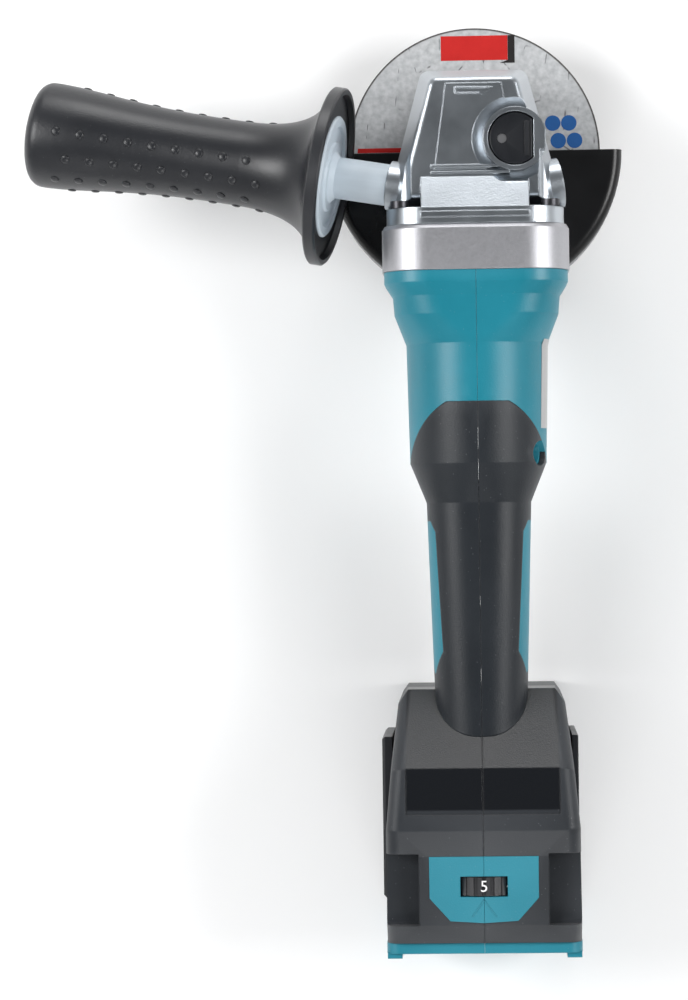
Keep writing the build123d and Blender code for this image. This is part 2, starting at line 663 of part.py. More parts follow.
with BuildPart() as gear_housing_screws:
    for x, z in screw_places():
        for y_front, length, radius in (
            (FLANGE_FRONT_Y + HEAD_SCREW_HEAD_HEIGHT, HEAD_SCREW_HEAD_HEIGHT, HEAD_SCREW_HEAD / 2),
            (FLANGE_FRONT_Y, HEAD_SCREW_LENGTH, HEAD_SCREW_SHANK / 2),
        ):
            with BuildSketch(Plane.XZ.offset(-y_front)):
                with Locations((x, z)):
                    Circle(radius)
            extrude(amount=length)
        with BuildSketch(Plane.XZ.offset(-FLANGE_FRONT_Y - HEAD_SCREW_HEAD_HEIGHT)):
            with Locations((x, z)):
                Rectangle(1.0, 4.2)
                Rectangle(4.2, 1.0)
        extrude(amount=1.6, mode=Mode.SUBTRACT)
save(gear_housing_screws.part, "gear_housing_screws")

with BuildPart() as spindle_lock_button:
    with BuildSketch(Plane.XY.offset(BUTTON_TOP_Z - BUTTON_THICKNESS)):
        button_outline(0)
    extrude(amount=BUTTON_THICKNESS)
    fillet(spindle_lock_button.faces().sort_by(Axis.Z)[-1].edges(), radius=0.6)
    # Raised finger edge along the flat side
    block(
        (BUTTON_FLAT_X - 3.0, BUTTON_FLAT_X - 1.2),
        (BUTTON_CENTRE[1] - 6.5, BUTTON_CENTRE[1] + 6.5),
        (BUTTON_TOP_Z - 1.0, BUTTON_TOP_Z + 0.5),
    )
    with BuildSketch(Plane.XY.offset(BUTTON_TOP_Z - BUTTON_THICKNESS)):
        with Locations(PIN_POSITION):
            Circle(PIN_DIAMETER / 2 + 2.6)
    extrude(amount=BUTTON_THICKNESS - 1.4, mode=Mode.SUBTRACT)
    with BuildSketch(Plane.XY.offset(BUTTON_TOP_Z - BUTTON_THICKNESS)):
        with Locations(PIN_POSITION):
            Circle(PIN_DIAMETER / 2)
    extrude(amount=20.0, mode=Mode.SUBTRACT)
save(spindle_lock_button.part, "spindle_lock_button")

with BuildPart() as lock_pin:
    with BuildSketch(Plane.XY.offset(PIN_BOTTOM_Z)):
        with Locations(PIN_POSITION):
            Circle(PIN_DIAMETER / 2)
    extrude(amount=BUTTON_TOP_Z - 0.3 - PIN_BOTTOM_Z)
    chamfer(lock_pin.edges().sort_by(Axis.Z)[0], length=0.6)
save(lock_pin.part, "lock_pin")


def coil_spring(origin, direction, wire_radius, coil_radius, length, turns):
    """Helical wire from origin along a direction, as a solid."""
    frame = Plane(origin=origin, z_dir=direction)
    helix = Helix(pitch=length / turns, height=length, radius=coil_radius)
    path = frame.from_local_coords(helix)
    start = Plane(origin=path @ 0, z_dir=path % 0)
    with BuildSketch(start, mode=Mode.PRIVATE) as wire:
        Circle(wire_radius)
    return sweep(wire.sketch, path=path, is_frenet=True)


SPRING_TOP_Z = BUTTON_TOP_Z - 1.4
lock_spring_length = SPRING_TOP_Z - POCKET_FLOOR_Z - LOCK_SPRING_WIRE
lock_spring = coil_spring(
    (PIN_POSITION[0], PIN_POSITION[1], POCKET_FLOOR_Z + LOCK_SPRING_WIRE / 2),
    (0, 0, 1),
    LOCK_SPRING_WIRE / 2,
    PIN_DIAMETER / 2 + 1.2,
    lock_spring_length,
    3,
)
save(lock_spring, "lock_spring")

# ---------------------------------------------------------------- bearing box and guard
BOX_REAR_Y = -22.0
COLLAR_RADIUS = COLLAR_DIAMETER / 2
with BuildPart() as bearing_box:
    spindle_ring(COLLAR_BOTTOM_Z, BOX_FLANGE_Z, 0, COLLAR_RADIUS)
    with BuildSketch(Plane.XY.offset(BOX_FLANGE_Z)):
        head_outline(0)
        with Locations((0, BOX_REAR_Y - 10.0)):
            Rectangle(90.0, 20.0, mode=Mode.SUBTRACT)
    extrude(amount=HEAD_BASE_Z - BOX_FLANGE_Z)
    fillet(bearing_box.edges().filter_by(Axis.Z).sort_by(Axis.Y)[-2:], radius=4.0)
    spindle_ring(COLLAR_BOTTOM_Z, 9.0, 0, 18.0, mode=Mode.SUBTRACT)
    spindle_ring(8.0, HEAD_BASE_Z, 0, 10.5, mode=Mode.SUBTRACT)
    spindle_ring(LOWER_BEARING_Z, HEAD_BASE_Z, 0, LOWER_BEARING_OD / 2, mode=Mode.SUBTRACT)
    with BuildSketch(Plane.XY.offset(BOX_FLANGE_Z)):
        with Locations(*BOX_SCREW_PLACES):
            Circle(BOX_SCREW_HEAD / 2)
    extrude(amount=BOX_SCREW_HEIGHT + 0.2, mode=Mode.SUBTRACT)
    with BuildSketch(Plane.XY.offset(BOX_FLANGE_Z)):
        with Locations(*BOX_SCREW_PLACES):
            Circle(BOX_SCREW_SHANK / 2)
    extrude(amount=10.0, mode=Mode.SUBTRACT)
save(bearing_box.part, "bearing_box")

with BuildPart() as bearing_box_screws:
    with BuildSketch(Plane.XY.offset(BOX_FLANGE_Z + 0.2)):
        with Locations(*BOX_SCREW_PLACES):
            Circle(BOX_SCREW_HEAD / 2 - RUNNING_FIT)
    extrude(amount=BOX_SCREW_HEIGHT)
    with BuildSketch(Plane.XY.offset(BOX_FLANGE_Z + 0.2)):
        with Locations(*BOX_SCREW_PLACES):
            Circle(BOX_SCREW_SHANK / 2)
    extrude(amount=HEAD_BASE_Z - BOX_FLANGE_Z + BOX_SCREW_GRIP - 1.0)
    with BuildSketch(Plane.XY.offset(BOX_FLANGE_Z + 0.2)):
        with Locations(*BOX_SCREW_PLACES):
            Rectangle(0.9, 3.8)
            Rectangle(3.8, 0.9)
    extrude(amount=1.4, mode=Mode.SUBTRACT)
save(bearing_box_screws.part, "bearing_box_screws")

GUARD_PLATE_Z = COLLAR_BOTTOM_Z
GUARD_TOP_Z = GUARD_PLATE_Z + GUARD_SHEET
GUARD_BORE = COLLAR_RADIUS + RUNNING_FIT
with BuildPart() as wheel_guard:
    turned(
        [
            (-GUARD_BORE, GUARD_PLATE_Z),
            (-GUARD_RADIUS, GUARD_PLATE_Z),
            (-GUARD_RADIUS, GUARD_TOP_Z),
            (-GUARD_BORE, GUARD_TOP_Z),
        ],
        Plane.XZ,
        SPINDLE_AXIS,
        arc=180.0,
    )
    turned(
        [
            (-GUARD_RADIUS, GUARD_TOP_Z),
            (-GUARD_RADIUS, GUARD_SKIRT_Z),
            (-GUARD_RADIUS + GUARD_SHEET, GUARD_SKIRT_Z),
            (-GUARD_RADIUS + GUARD_SHEET, GUARD_TOP_Z),
        ],
        Plane.XZ,
        SPINDLE_AXIS,
        arc=180.0,
    )
    spindle_ring(GUARD_PLATE_Z, GUARD_TOP_Z, GUARD_BORE, GUARD_RING_RADIUS)
    rounds = wheel_guard.edges().filter_by(GeomType.CIRCLE)
    outer_bend = rounds.filter_by(lambda e: same(e.radius, GUARD_RADIUS) and same(e.center().Z, GUARD_TOP_Z))
    fillet(outer_bend, radius=GUARD_BEND)
    rounds = wheel_guard.edges().filter_by(GeomType.CIRCLE)
    inner_radius = GUARD_RADIUS - GUARD_SHEET
    inner_bend = rounds.filter_by(lambda e: same(e.radius, inner_radius) and same(e.center().Z, GUARD_PLATE_Z))
    fillet(inner_bend, radius=GUARD_BEND - GUARD_SHEET)
save(wheel_guard.part, "wheel_guard")

BAND_OUTER = GUARD_BORE + BAND_THICKNESS
BAND_TOP_Z = GUARD_TOP_Z + BAND_HEIGHT
EAR_OUTER_Y = BAND_OUTER + EAR_LENGTH
CLAMP_Y = BAND_OUTER + 3.0
CLAMP_Z = GUARD_TOP_Z + BAND_HEIGHT / 2
EAR_FACE_X = BAND_SLOT / 2 + EAR_THICKNESS
with BuildPart() as guard_band:
    spindle_ring(GUARD_TOP_Z, BAND_TOP_Z, GUARD_BORE, BAND_OUTER)
    block((-EAR_FACE_X, EAR_FACE_X), (BAND_OUTER - 1.2, EAR_OUTER_Y), (GUARD_TOP_Z, BAND_TOP_Z))
    block((-BAND_SLOT / 2, BAND_SLOT / 2), (0, 40.0), (GUARD_TOP_Z, BAND_TOP_Z), mode=Mode.SUBTRACT)
    with BuildSketch(Plane.YZ.offset(-20.0)):
        with Locations((CLAMP_Y, CLAMP_Z)):
            Circle(CLAMP_SCREW_DIAMETER / 2 + RUNNING_FIT)
    extrude(amount=40.0, mode=Mode.SUBTRACT)
save(guard_band.part, "guard_band")

with BuildPart() as guard_clamp_screw:
    with BuildSketch(Plane.YZ.offset(-EAR_FACE_X - 3.0)):
        with Locations((CLAMP_Y, CLAMP_Z)):
            RegularPolygon(3.4, 6)
    extrude(amount=3.0)
    with BuildSketch(Plane.YZ.offset(-EAR_FACE_X)):
        with Locations((CLAMP_Y, CLAMP_Z)):
            Circle(CLAMP_SCREW_DIAMETER / 2)
    extrude(amount=2 * EAR_FACE_X)
    with BuildSketch(Plane.YZ.offset(EAR_FACE_X)):
        with Locations((CLAMP_Y, CLAMP_Z)):
            Circle(3.4)
    extrude(amount=3.0)
    with BuildSketch(Plane.YZ.offset(EAR_FACE_X + 1.2)):
        with Locations((CLAMP_Y, CLAMP_Z)):
            RegularPolygon(1.5, 6)
    extrude(amount=3.0, mode=Mode.SUBTRACT)
save(guard_clamp_screw.part, "guard_clamp_screw")

# ---------------------------------------------------------------- ring and motor housing
with BuildPart() as housing_ring:
    with BuildSketch(Plane.XZ.offset(-FLANGE_REAR_Y)):
        with Locations((0, MOTOR_Z)):
            RectangleRounded(RING_WIDTH, RING_HEIGHT, RING_CORNER)
    extrude(amount=FLANGE_REAR_Y - RING_REAR_Y)
    front_rim = housing_ring.faces().sort_by(Axis.Y)[-1].edges()
    chamfer(front_rim, length=1.6, length2=1.0)
    motor_ring(RING_REAR_Y, FLANGE_REAR_Y, 0, FAN_BAY_RADIUS, mode=Mode.SUBTRACT)
    with BuildSketch(Plane.XZ.offset(-FLANGE_REAR_Y)):
        with Locations(*screw_places()):
            Circle(HEAD_SCREW_SHANK / 2)
    extrude(amount=20.0, mode=Mode.SUBTRACT)
save(housing_ring.part, "housing_ring")


def station(y, width, height, corner, inset):
    """Rounded cross-section of the body at one place along the motor axis."""
    wide = width - 2 * inset
    high = height - 2 * inset
    radius = min(max(corner - inset, 1.0), wide / 2 - 0.4, high / 2 - 0.4)
    with BuildSketch(Plane.XZ.offset(-y), mode=Mode.PRIVATE) as section:
        with Locations((0, MOTOR_Z)):
            RectangleRounded(wide, high, radius)
    return section.sketch


def long_body(inset, front_y, rear_y):
    """Barrel, collar and grip as one tapering solid, shrunk by inset on every side."""
    barrel_corner = BARREL_DIAMETER / 2
    shoulder_height = RING_HEIGHT - 0.8
    sections = [
        station(front_y, SHOULDER_WIDTH, shoulder_height, RING_CORNER, inset),
        station(SHOULDER_Y, SHOULDER_WIDTH, shoulder_height, RING_CORNER, inset),
        station(WAIST_FRONT_Y, WAIST_WIDTH + 1.0, RING_HEIGHT - 2.6, RING_CORNER, inset),
        station(WAIST_REAR_Y, WAIST_WIDTH, RING_HEIGHT - 3.0, RING_CORNER + 2.0, inset),
        station(BARREL_Y, BARREL_DIAMETER, BARREL_DIAMETER, barrel_corner, inset),
        station(BARREL_REAR_Y, BARREL_REAR_DIAMETER, BARREL_REAR_DIAMETER, BARREL_REAR_DIAMETER / 2, inset),
        station(GRIP_FRONT_Y, GRIP_FRONT_WIDTH, GRIP_HEIGHT, GRIP_CORNER, inset),
        station(rear_y, GRIP_REAR_WIDTH, GRIP_HEIGHT - 1.0, GRIP_CORNER, inset),
    ]
    return loft(sections, ruled=True, mode=Mode.PRIVATE)


def base_side(inset):
    """Side outline of the battery base in the plane through the motor axis."""
    outline_face(
        [
            (BASE_FRONT_Y - 2.0, BASE_BOTTOM_Z),
            (BASE_FRONT_Y, BASE_SLOPE_Z),
            (BASE_CREST_Y, BASE_CREST_Z),
            (BASE_PLATEAU_Y, BASE_TOP_Z),
            (PANEL_FRONT_Y, PANEL_FRONT_Z),
            (PANEL_REAR_Y, PANEL_REAR_Z),
            (BASE_REAR_Y, BASE_REAR_TOP_Z),
            (BASE_REAR_Y, BASE_BOTTOM_Z),
        ]
    )
    if inset > 0:
        offset(amount=-inset, kind=Kind.INTERSECTION)


def base_plan(inset):
    """Plan outline of the battery base."""
    half = [
        (BASE_FRONT_HALF, BASE_FRONT_Y + 1.0),
        (BASE_CORNER_HALF, BASE_CORNER_Y),
        (BASE_MID_HALF, BASE_MID_Y),
        (BASE_REAR_HALF, BASE_WIDE_Y),
        (BASE_REAR_HALF + 0.4, BASE_REAR_Y),
    ]
    outline_face(half + [(-x, y) for x, y in reversed(half)])
    if inset > 0:
        offset(amount=-inset, kind=Kind.INTERSECTION)


def runs_lengthways(direction):
    """Whether a direction runs along the tool rather than across it."""
    return abs(direction.X) < 0.3 and abs(direction.Y) > 0.5


def base_body(inset):
    """Battery base as a solid, shrunk by inset on every side."""
    with BuildPart(mode=Mode.PRIVATE) as body:
        with BuildSketch(Plane.YZ) as side:
            base_side(inset)
        extrude(side.sketch, amount=60.0, both=True)
        with BuildSketch(Plane.XY.offset(BASE_BOTTOM_Z - 10.0)) as plan:
            base_plan(inset)
        extrude(plan.sketch, amount=160.0, mode=Mode.INTERSECT)
        upper_edges = body.edges().filter_by(lambda e: e.center().Z > BASE_SLOPE_Z - 1)
        top_sides = upper_edges.filter_by(lambda e: runs_lengthways(e.tangent_at(0.5)))
        fillet(top_sides, radius=BASE_EDGE - inset / 2)
        # Scooped pockets in both rear shoulders
        for side in (-1, 1):
            near = side * (POCKET_INNER_X - inset)
            far = side * 60.0
            block(
                (min(near, far), max(near, far)),
                (PANEL_REAR_Y - inset, PANEL_FRONT_Y + 1.0 + inset),
                (POCKET_FLOOR_HEIGHT - inset, BASE_TOP_Z + 20.0),
                mode=Mode.SUBTRACT,
            )
    return body.part


cavity_body = long_body(SKIN + SHELL_WALL, RING_REAR_Y + DUCT_OVERRUN, GRIP_REAR_Y)
core_body = long_body(SKIN, RING_REAR_Y - 0.1, GRIP_REAR_Y)
full_body = long_body(0, RING_REAR_Y - 0.1, GRIP_REAR_Y)
base_full = base_body(0)
base_core = base_body(SKIN)
base_cavity = base_body(SKIN + SHELL_WALL)

INLAY_POINTS = [
    (INLAY_FRONT_Y, INLAY_HIGH_Z - 3.0),
    (INLAY_FRONT_Y - 4.0, INLAY_HIGH_Z),
    (INLAY_REAR_Y + 9.0, INLAY_HIGH_Z + 1.0),
    (INLAY_REAR_Y, INLAY_HIGH_Z - 5.0),
    (INLAY_REAR_Y + 5.5, INLAY_HIGH_Z - 13.0),
    (INLAY_REAR_Y + 5.5, INLAY_LOW_Z),
    (INLAY_FRONT_Y - 4.0, INLAY_LOW_Z),
    (INLAY_FRONT_Y, INLAY_LOW_Z + 5.0),
]
COLLAR_POINTS = [
    (COLLAR_TOP_Y, MOTOR_Z + 40.0),
    (COLLAR_TOP_Y, MOTOR_Z + 24.0),
    (COLLAR_SIDE_Y, COLLAR_SIDE_Z),
    (COLLAR_SIDE_Y, MOTOR_Z - 40.0),
    (GRIP_REAR_Y - 10.0, MOTOR_Z - 40.0),
    (GRIP_REAR_Y - 10.0, MOTOR_Z + 40.0),
]
PANEL_HALF = 20.6
PANEL_CHAMFER_Y = -288.0
PANEL_REAR_HALF = 12.8
PANEL_POINTS = [
    (-PANEL_HALF, PANEL_FRONT_Y),
    (PANEL_HALF, PANEL_FRONT_Y),
    (PANEL_HALF, PANEL_CHAMFER_Y),
    (PANEL_REAR_HALF, PANEL_REAR_Y + 1.6),
    (0, PANEL_REAR_Y + 0.8),
    (-PANEL_REAR_HALF, PANEL_REAR_Y + 1.6),
    (-PANEL_HALF, PANEL_CHAMFER_Y),
]
LUG_INNER_X = PADDLE_WIDTH / 2 + FREE_GAP
LUG_OUTER_X = LUG_INNER_X + LUG_THICKNESS
LUG_Y = (PADDLE_PIVOT[0] - 5.5, PADDLE_PIVOT[0] + 5.5)
LUG_Z = (PADDLE_PIVOT[1] - 4.5, PADDLE_PIVOT[1] + 12.0)
RIM_INNER_HALF = BASE_REAR_HALF - SKIN
RIM_FRONT_Y = BASE_REAR_Y + SKIN
CASE_SCREW_HEAD = 6.8
CASE_SCREW_SHANK = 3.8
# Each closing screw: place along the body, height, seat of its head and half length of its boss
CASE_SCREWS = [
    (-120.5, MOTOR_Z + 11.5, 17.5, 18.8),
    (-296.0, 56.0, 26.0, 33.0),
    (-296.0, -20.0, 26.0, 33.0),
    (-221.0, -20.0, 22.0, 29.5),
]


def dust_block(side, grow):
    """Space taken by the dust cover on one flank."""
    proud = DUST_PROUD_LEFT if side < 0 else DUST_PROUD_RIGHT
    near = side * (BASE_REAR_HALF - DUST_DEPTH)
    far = side * (BASE_REAR_HALF + proud + grow)
    return (min(near, far), max(near, far)), DUST_Y, DUST_Z


with BuildPart() as inlay_zone:
    with BuildSketch(Plane.YZ) as inlay_outline:
        outline_face(INLAY_POINTS)
        fillet(inlay_outline.vertices(), radius=1.2)
    extrude(amount=60.0, both=True)

with BuildPart() as collar_zone:
    with BuildSketch(Plane.YZ):
        outline_face(COLLAR_POINTS)
    extrude(amount=60.0, both=True)

with BuildPart() as panel_zone:
    with BuildSketch(Plane.XY.offset(60.0)):
        outline_face(PANEL_POINTS)
    extrude(amount=40.0)

with BuildPart() as lugs:
    for side in (-1, 1):
        near = side * LUG_INNER_X
        far = side * LUG_OUTER_X
        block((min(near, far), max(near, far)), LUG_Y, LUG_Z)
    with BuildSketch(Plane.YZ.offset(-LUG_OUTER_X)):
        with Locations(PADDLE_PIVOT):
            Circle(PADDLE_PIN_DIAMETER / 2)
    extrude(amount=2 * LUG_OUTER_X, mode=Mode.SUBTRACT)

with BuildPart() as collar_shell:
    add(full_body)
    add(collar_zone.part, mode=Mode.INTERSECT)
    add(core_body, mode=Mode.SUBTRACT)
    add(inlay_zone.part, mode=Mode.SUBTRACT)
    add(base_full, mode=Mode.SUBTRACT)
    for side in (-1, 1):
        near = side * (LUG_INNER_X - 0.2)
        far = side * (LUG_OUTER_X + 0.2)
        block((min(near, far), max(near, far)), LUG_Y, LUG_Z, mode=Mode.SUBTRACT)

with BuildPart() as inlays:
    add(full_body)
    add(inlay_zone.part, mode=Mode.INTERSECT)

with BuildPart() as panel:
    add(base_full)
    add(panel_zone.part, mode=Mode.INTERSECT)

with BuildPart() as case_shell:
    add(full_body)
    add(collar_zone.part, mode=Mode.SUBTRACT)
    add(core_body)
    add(inlays.part)
    add(base_core)
    add(panel.part)
    # Rear rim that carries the battery
    rim_z = (BASE_BOTTOM_Z + SKIN, RIM_TOP_Z - SKIN)
    block((-RIM_INNER_HALF, RIM_INNER_HALF), (RIM_REAR_Y, RIM_FRONT_Y), rim_z)
    with BuildSketch(Plane.XZ.offset(-BASE_REAR_Y)):
        with Locations((0, (BASE_BOTTOM_Z + RIM_TOP_Z) / 2)):
            RectangleRounded(RIM_WIDTH, RIM_TOP_Z - BASE_BOTTOM_Z, 5.0)
    extrude(amount=BASE_REAR_Y - RIM_REAR_Y)
    add(lugs.part)
    # Hollow inside
    add(cavity_body, mode=Mode.SUBTRACT)
    add(base_cavity, mode=Mode.SUBTRACT)
    motor_ring(MOTOR_BAY_REAR_Y, RING_REAR_Y + 1.0, 0, STATOR_RADIUS + 0.4, mode=Mode.SUBTRACT)
    motor_ring(REAR_BEARING_Y - REAR_BEARING_WIDTH, REAR_BEARING_Y + 2.0, REAR_BEARING_OD / 2, 23.4)
    # Screw bosses between the two halves
    for y, z, seat, reach in CASE_SCREWS:
        with BuildSketch(Plane.YZ.offset(-reach)):
            with Locations((y, z)):
                Circle(CASE_SCREW_HEAD / 2 + 1.4)
        extrude(amount=2 * reach)
        with BuildSketch(Plane.YZ.offset(seat)):
            with Locations((y, z)):
                Circle(CASE_SCREW_HEAD / 2 + 0.3)
        extrude(amount=40.0, mode=Mode.SUBTRACT)
        with BuildSketch(Plane.YZ.offset(-seat + 2.0)):
            with Locations((y, z)):
                Circle(CASE_SCREW_SHANK / 2)
        extrude(amount=2 * seat, mode=Mode.SUBTRACT)
    # Dial window with its facets, dial relief, plunger hole and terminal window
    with BuildSketch(Plane.XY.offset(DIAL_Z)):
        with Locations((0, DIAL_Y)):
            Rectangle(*DIAL_WINDOW)
    extrude(amount=40.0, mode=Mode.SUBTRACT)
    with BuildSketch(Plane.XZ.offset(-DIAL_Y - DIAL_WIDTH / 2 - FREE_GAP)):
        with Locations((0, DIAL_Z)):
            Circle(DIAL_RADIUS + FREE_GAP)
        with Locations((0, DIAL_Z + DIAL_RADIUS + 7.2)):
            Rectangle(60.0, 20.0, mode=Mode.SUBTRACT)
    extrude(amount=DIAL_WIDTH + 2 * FREE_GAP, mode=Mode.SUBTRACT)
    with BuildSketch(Plane.XY.offset(MOTOR_Z - 30.0)):
        with Locations((0, PLUNGER_Y)):
            Circle(PLUNGER_DIAMETER / 2 + FREE_GAP)
    extrude(amount=30.0, mode=Mode.SUBTRACT)
    block((-TERMINAL_HALF, TERMINAL_HALF), (RIM_REAR_Y - 1.0, -290.0), TERMINAL_Z, mode=Mode.SUBTRACT)
    # Screw holes at the ring
    with BuildSketch(Plane.XZ.offset(-RING_REAR_Y - 1.0)):
        with Locations(*screw_places()):
            Circle(HEAD_SCREW_SHANK / 2)
    extrude(amount=HEAD_SCREW_LENGTH - (FLANGE_FRONT_Y - RING_REAR_Y) + 1.0, mode=Mode.SUBTRACT)
    # Battery rails
    for side in (-1, 1):
        for inner, y_front, y_rear in (
            (RAIL_OUTER - 3.0, RIM_REAR_Y, RAIL_REAR_Y),
            (RAIL_OUTER - 5.6, RAIL_REAR_Y + 1.4, RAIL_REAR_Y),
        ):
            near = side * inner
            far = side * RAIL_OUTER
            block((min(near, far), max(near, far)), (y_rear, y_front + 0.5), rim_z)
    for side in (-1, 1):
        block(*dust_block(side, 5.0), mode=Mode.SUBTRACT)

for name, side in (("housing_left", -1), ("housing_right", 1)):
    with BuildPart() as case_half:
        add(case_shell.part)
        split(bisect_by=Plane.YZ.offset(side * SEAM_GAP / 2), keep=Keep.TOP if side > 0 else Keep.BOTTOM)
    save(case_half.part, name)

with BuildPart() as cover_shell:
    add(base_full)
    add(base_core, mode=Mode.SUBTRACT)
    add(panel_zone.part, mode=Mode.SUBTRACT)
    add(core_body, mode=Mode.SUBTRACT)
    block((-60.0, 60.0), (RIM_REAR_Y - 5.0, BASE_REAR_Y + 0.3), (-60.0, 100.0), mode=Mode.SUBTRACT)
    block(
        (-RIM_INNER_HALF, RIM_INNER_HALF),
        (RIM_REAR_Y, RIM_FRONT_Y + 0.1),
        (BASE_BOTTOM_Z + SKIN, RIM_TOP_Z - SKIN),
        mode=Mode.SUBTRACT,
    )
    # Smooth recessed panel on the crest
    with BuildSketch(Plane.YZ):
        outline_face(
            [
                (RECESS_FRONT_Y, BASE_CREST_Z - 0.5),
                (RECESS_REAR_Y, BASE_TOP_Z - 0.8),
                (RECESS_REAR_Y, BASE_TOP_Z + 10.0),
                (RECESS_FRONT_Y, BASE_TOP_Z + 10.0),
            ]
        )
    extrude(amount=RECESS_HALF, both=True, mode=Mode.SUBTRACT)
    for y, z, seat, _ in CASE_SCREWS[1:]:
        with BuildSketch(Plane.YZ.offset(seat)):
            with Locations((y, z)):
                Circle(CASE_SCREW_HEAD / 2 + 0.3)
        extrude(amount=40.0, mode=Mode.SUBTRACT)
    for side in (-1, 1):
        block(*dust_block(side, 5.0), mode=Mode.SUBTRACT)

for name, side in (("base_cover_left", -1), ("base_cover_right", 1)):
    with BuildPart() as cover_half:
        add(cover_shell.part)
        split(bisect_by=Plane.YZ.offset(side * SEAM_GAP / 2), keep=Keep.TOP if side > 0 else Keep.BOTTOM)
    save(cover_half.part, name)

for name, side in (("grip_rubber_left", -1), ("grip_rubber_right", 1)):
    with BuildPart() as rubber_half:
        add(collar_shell.part)
        split(bisect_by=Plane.YZ.offset(side * SEAM_GAP / 2), keep=Keep.TOP if side > 0 else Keep.BOTTOM)
        with BuildSketch(Plane.XY.offset(MOTOR_Z - 30.0)):
            with Locations((0, PLUNGER_Y)):
                Circle(PLUNGER_DIAMETER / 2 + FREE_GAP)
        extrude(amount=30.0, mode=Mode.SUBTRACT)
        if side > 0:
            with BuildSketch(Plane.YZ.offset(CASE_SCREWS[0][2])):
                with Locations(CASE_SCREWS[0][0:2]):
                    Circle(CASE_SCREW_HEAD / 2 + 1.4)
            extrude(amount=40.0, mode=Mode.SUBTRACT)
    save(rubber_half.part, name)

for name, side in (("dust_cover_left", -1), ("dust_cover_right", 1)):
    with BuildPart() as dust_cover:
        block(*dust_block(side, 0))
        for index in range(DUST_SLOTS):
            slot_y = DUST_Y[0] + (index + 1) * (DUST_Y[1] - DUST_Y[0]) / (DUST_SLOTS + 1)
            block((-60.0, 60.0), (slot_y - 1.0, slot_y + 1.0), (DUST_Z[0] + 6.0, DUST_Z[1] - 6.0), mode=Mode.SUBTRACT)
        outer_face = dust_cover.faces().sort_by(Axis.X)[-1 if side > 0 else 0]
        chamfer(outer_face.outer_wire().edges(), length=0.3 if side > 0 else 1.0)
    save(dust_cover.part, name)

with BuildPart() as housing_screws:
    for y, z, seat, _ in CASE_SCREWS:
        for start, length, radius in (
            (seat, 2.4, CASE_SCREW_HEAD / 2),
            (-seat + 3.0, 2 * seat - 3.0, CASE_SCREW_SHANK / 2),
        ):
            with BuildSketch(Plane.YZ.offset(start)):
                with Locations((y, z)):
                    Circle(radius)
            extrude(amount=length)
        with BuildSketch(Plane.YZ.offset(seat + 2.4)):
            with Locations((y, z)):
                RegularPolygon(1.6, 6)
        extrude(amount=-1.5, mode=Mode.SUBTRACT)
save(housing_screws.part, "housing_screws")

# ---------------------------------------------------------------- speed dial
with BuildPart() as speed_dial:
    with BuildSketch(Plane.XZ.offset(-DIAL_Y - DIAL_WIDTH / 2)):
        with Locations((0, DIAL_Z)):
            Circle(DIAL_RADIUS - 0.6)
            with PolarLocations(DIAL_RADIUS - 0.7, DIAL_RIBS):
                Rectangle(1.4, 1.5)
    extrude(amount=DIAL_WIDTH)
    with BuildSketch(Plane.XZ.offset(-DIAL_Y)):
        with Locations((0, DIAL_Z)):
            Circle(DIAL_SHAFT / 2)
    extrude(amount=-DIAL_WIDTH / 2 - 7.0)
save(speed_dial.part, "speed_dial")

with BuildPart() as dial_sensor:
    sensor_y = DIAL_Y + DIAL_WIDTH / 2 + 1.0
    block((-7.0, 7.0), (sensor_y, sensor_y + 6.0), (DIAL_Z - 8.0, DIAL_Z + 7.0))
    block((-12.0, 12.0), (sensor_y + 6.0, sensor_y + 7.6), (DIAL_Z - 14.0, DIAL_Z + 9.0))
    with BuildSketch(Plane.XZ.offset(-sensor_y + 1.0)):
        with Locations((0, DIAL_Z)):
            Circle(DIAL_SHAFT / 2 + RUNNING_FIT)
    extrude(amount=-20.0, mode=Mode.SUBTRACT)
save(dial_sensor.part, "dial_sensor")

# ---------------------------------------------------------------- paddle and switch
PADDLE_POINTS = [
    (PADDLE_FRONT_Y, PADDLE_PIVOT[1] + 2.0),
    (PADDLE_REAR_Y, 14.5),
    (PADDLE_REAR_Y - 2.0, 11.0),
    (PADDLE_REAR_Y - 0.5, 5.6),
    (PADDLE_REAR_Y + 7.0, 4.6),
    (-150.0, 8.6),
    (PADDLE_PIVOT[0] + 1.0, 12.4),
    (PADDLE_FRONT_Y + 0.5, PADDLE_PIVOT[1] - 2.0),
]
with BuildPart() as paddle_lever:
    with BuildSketch(Plane.YZ) as paddle_side:
        outline_face(PADDLE_POINTS)
        fillet(paddle_side.vertices(), radius=1.4)
    extrude(amount=PADDLE_WIDTH / 2, both=True)
    fillet(paddle_lever.faces().filter_by(Axis.X).edges().filter_by(GeomType.LINE), radius=1.0)
    block((-10.5, 10.5), (PADDLE_REAR_Y + 4.0, -183.0), (8.6, 30.0), mode=Mode.SUBTRACT)
    lever_gap = LOCK_LEVER_WIDTH / 2 + FREE_GAP
    block((-lever_gap, lever_gap), (-180.0, -164.0), (0.0, 30.0), mode=Mode.SUBTRACT)
    with BuildSketch(Plane.YZ.offset(-6.4)):
        with Locations(PADDLE_PIVOT):
            Circle(5.0)
    extrude(amount=12.8, mode=Mode.SUBTRACT)
    with BuildSketch(Plane.YZ.offset(-20.0)):
        with Locations(PADDLE_PIVOT):
            Circle(PADDLE_PIN_DIAMETER / 2 + RUNNING_FIT)
    extrude(amount=40.0, mode=Mode.SUBTRACT)
    with BuildSketch(Plane.YZ.offset(-11.0)):
        with Locations(LOCK_LEVER_PIVOT):
            Circle(LOCK_PIN_DIAMETER / 2)
    extrude(amount=22.0, mode=Mode.SUBTRACT)
save(paddle_lever.part, "paddle_lever")

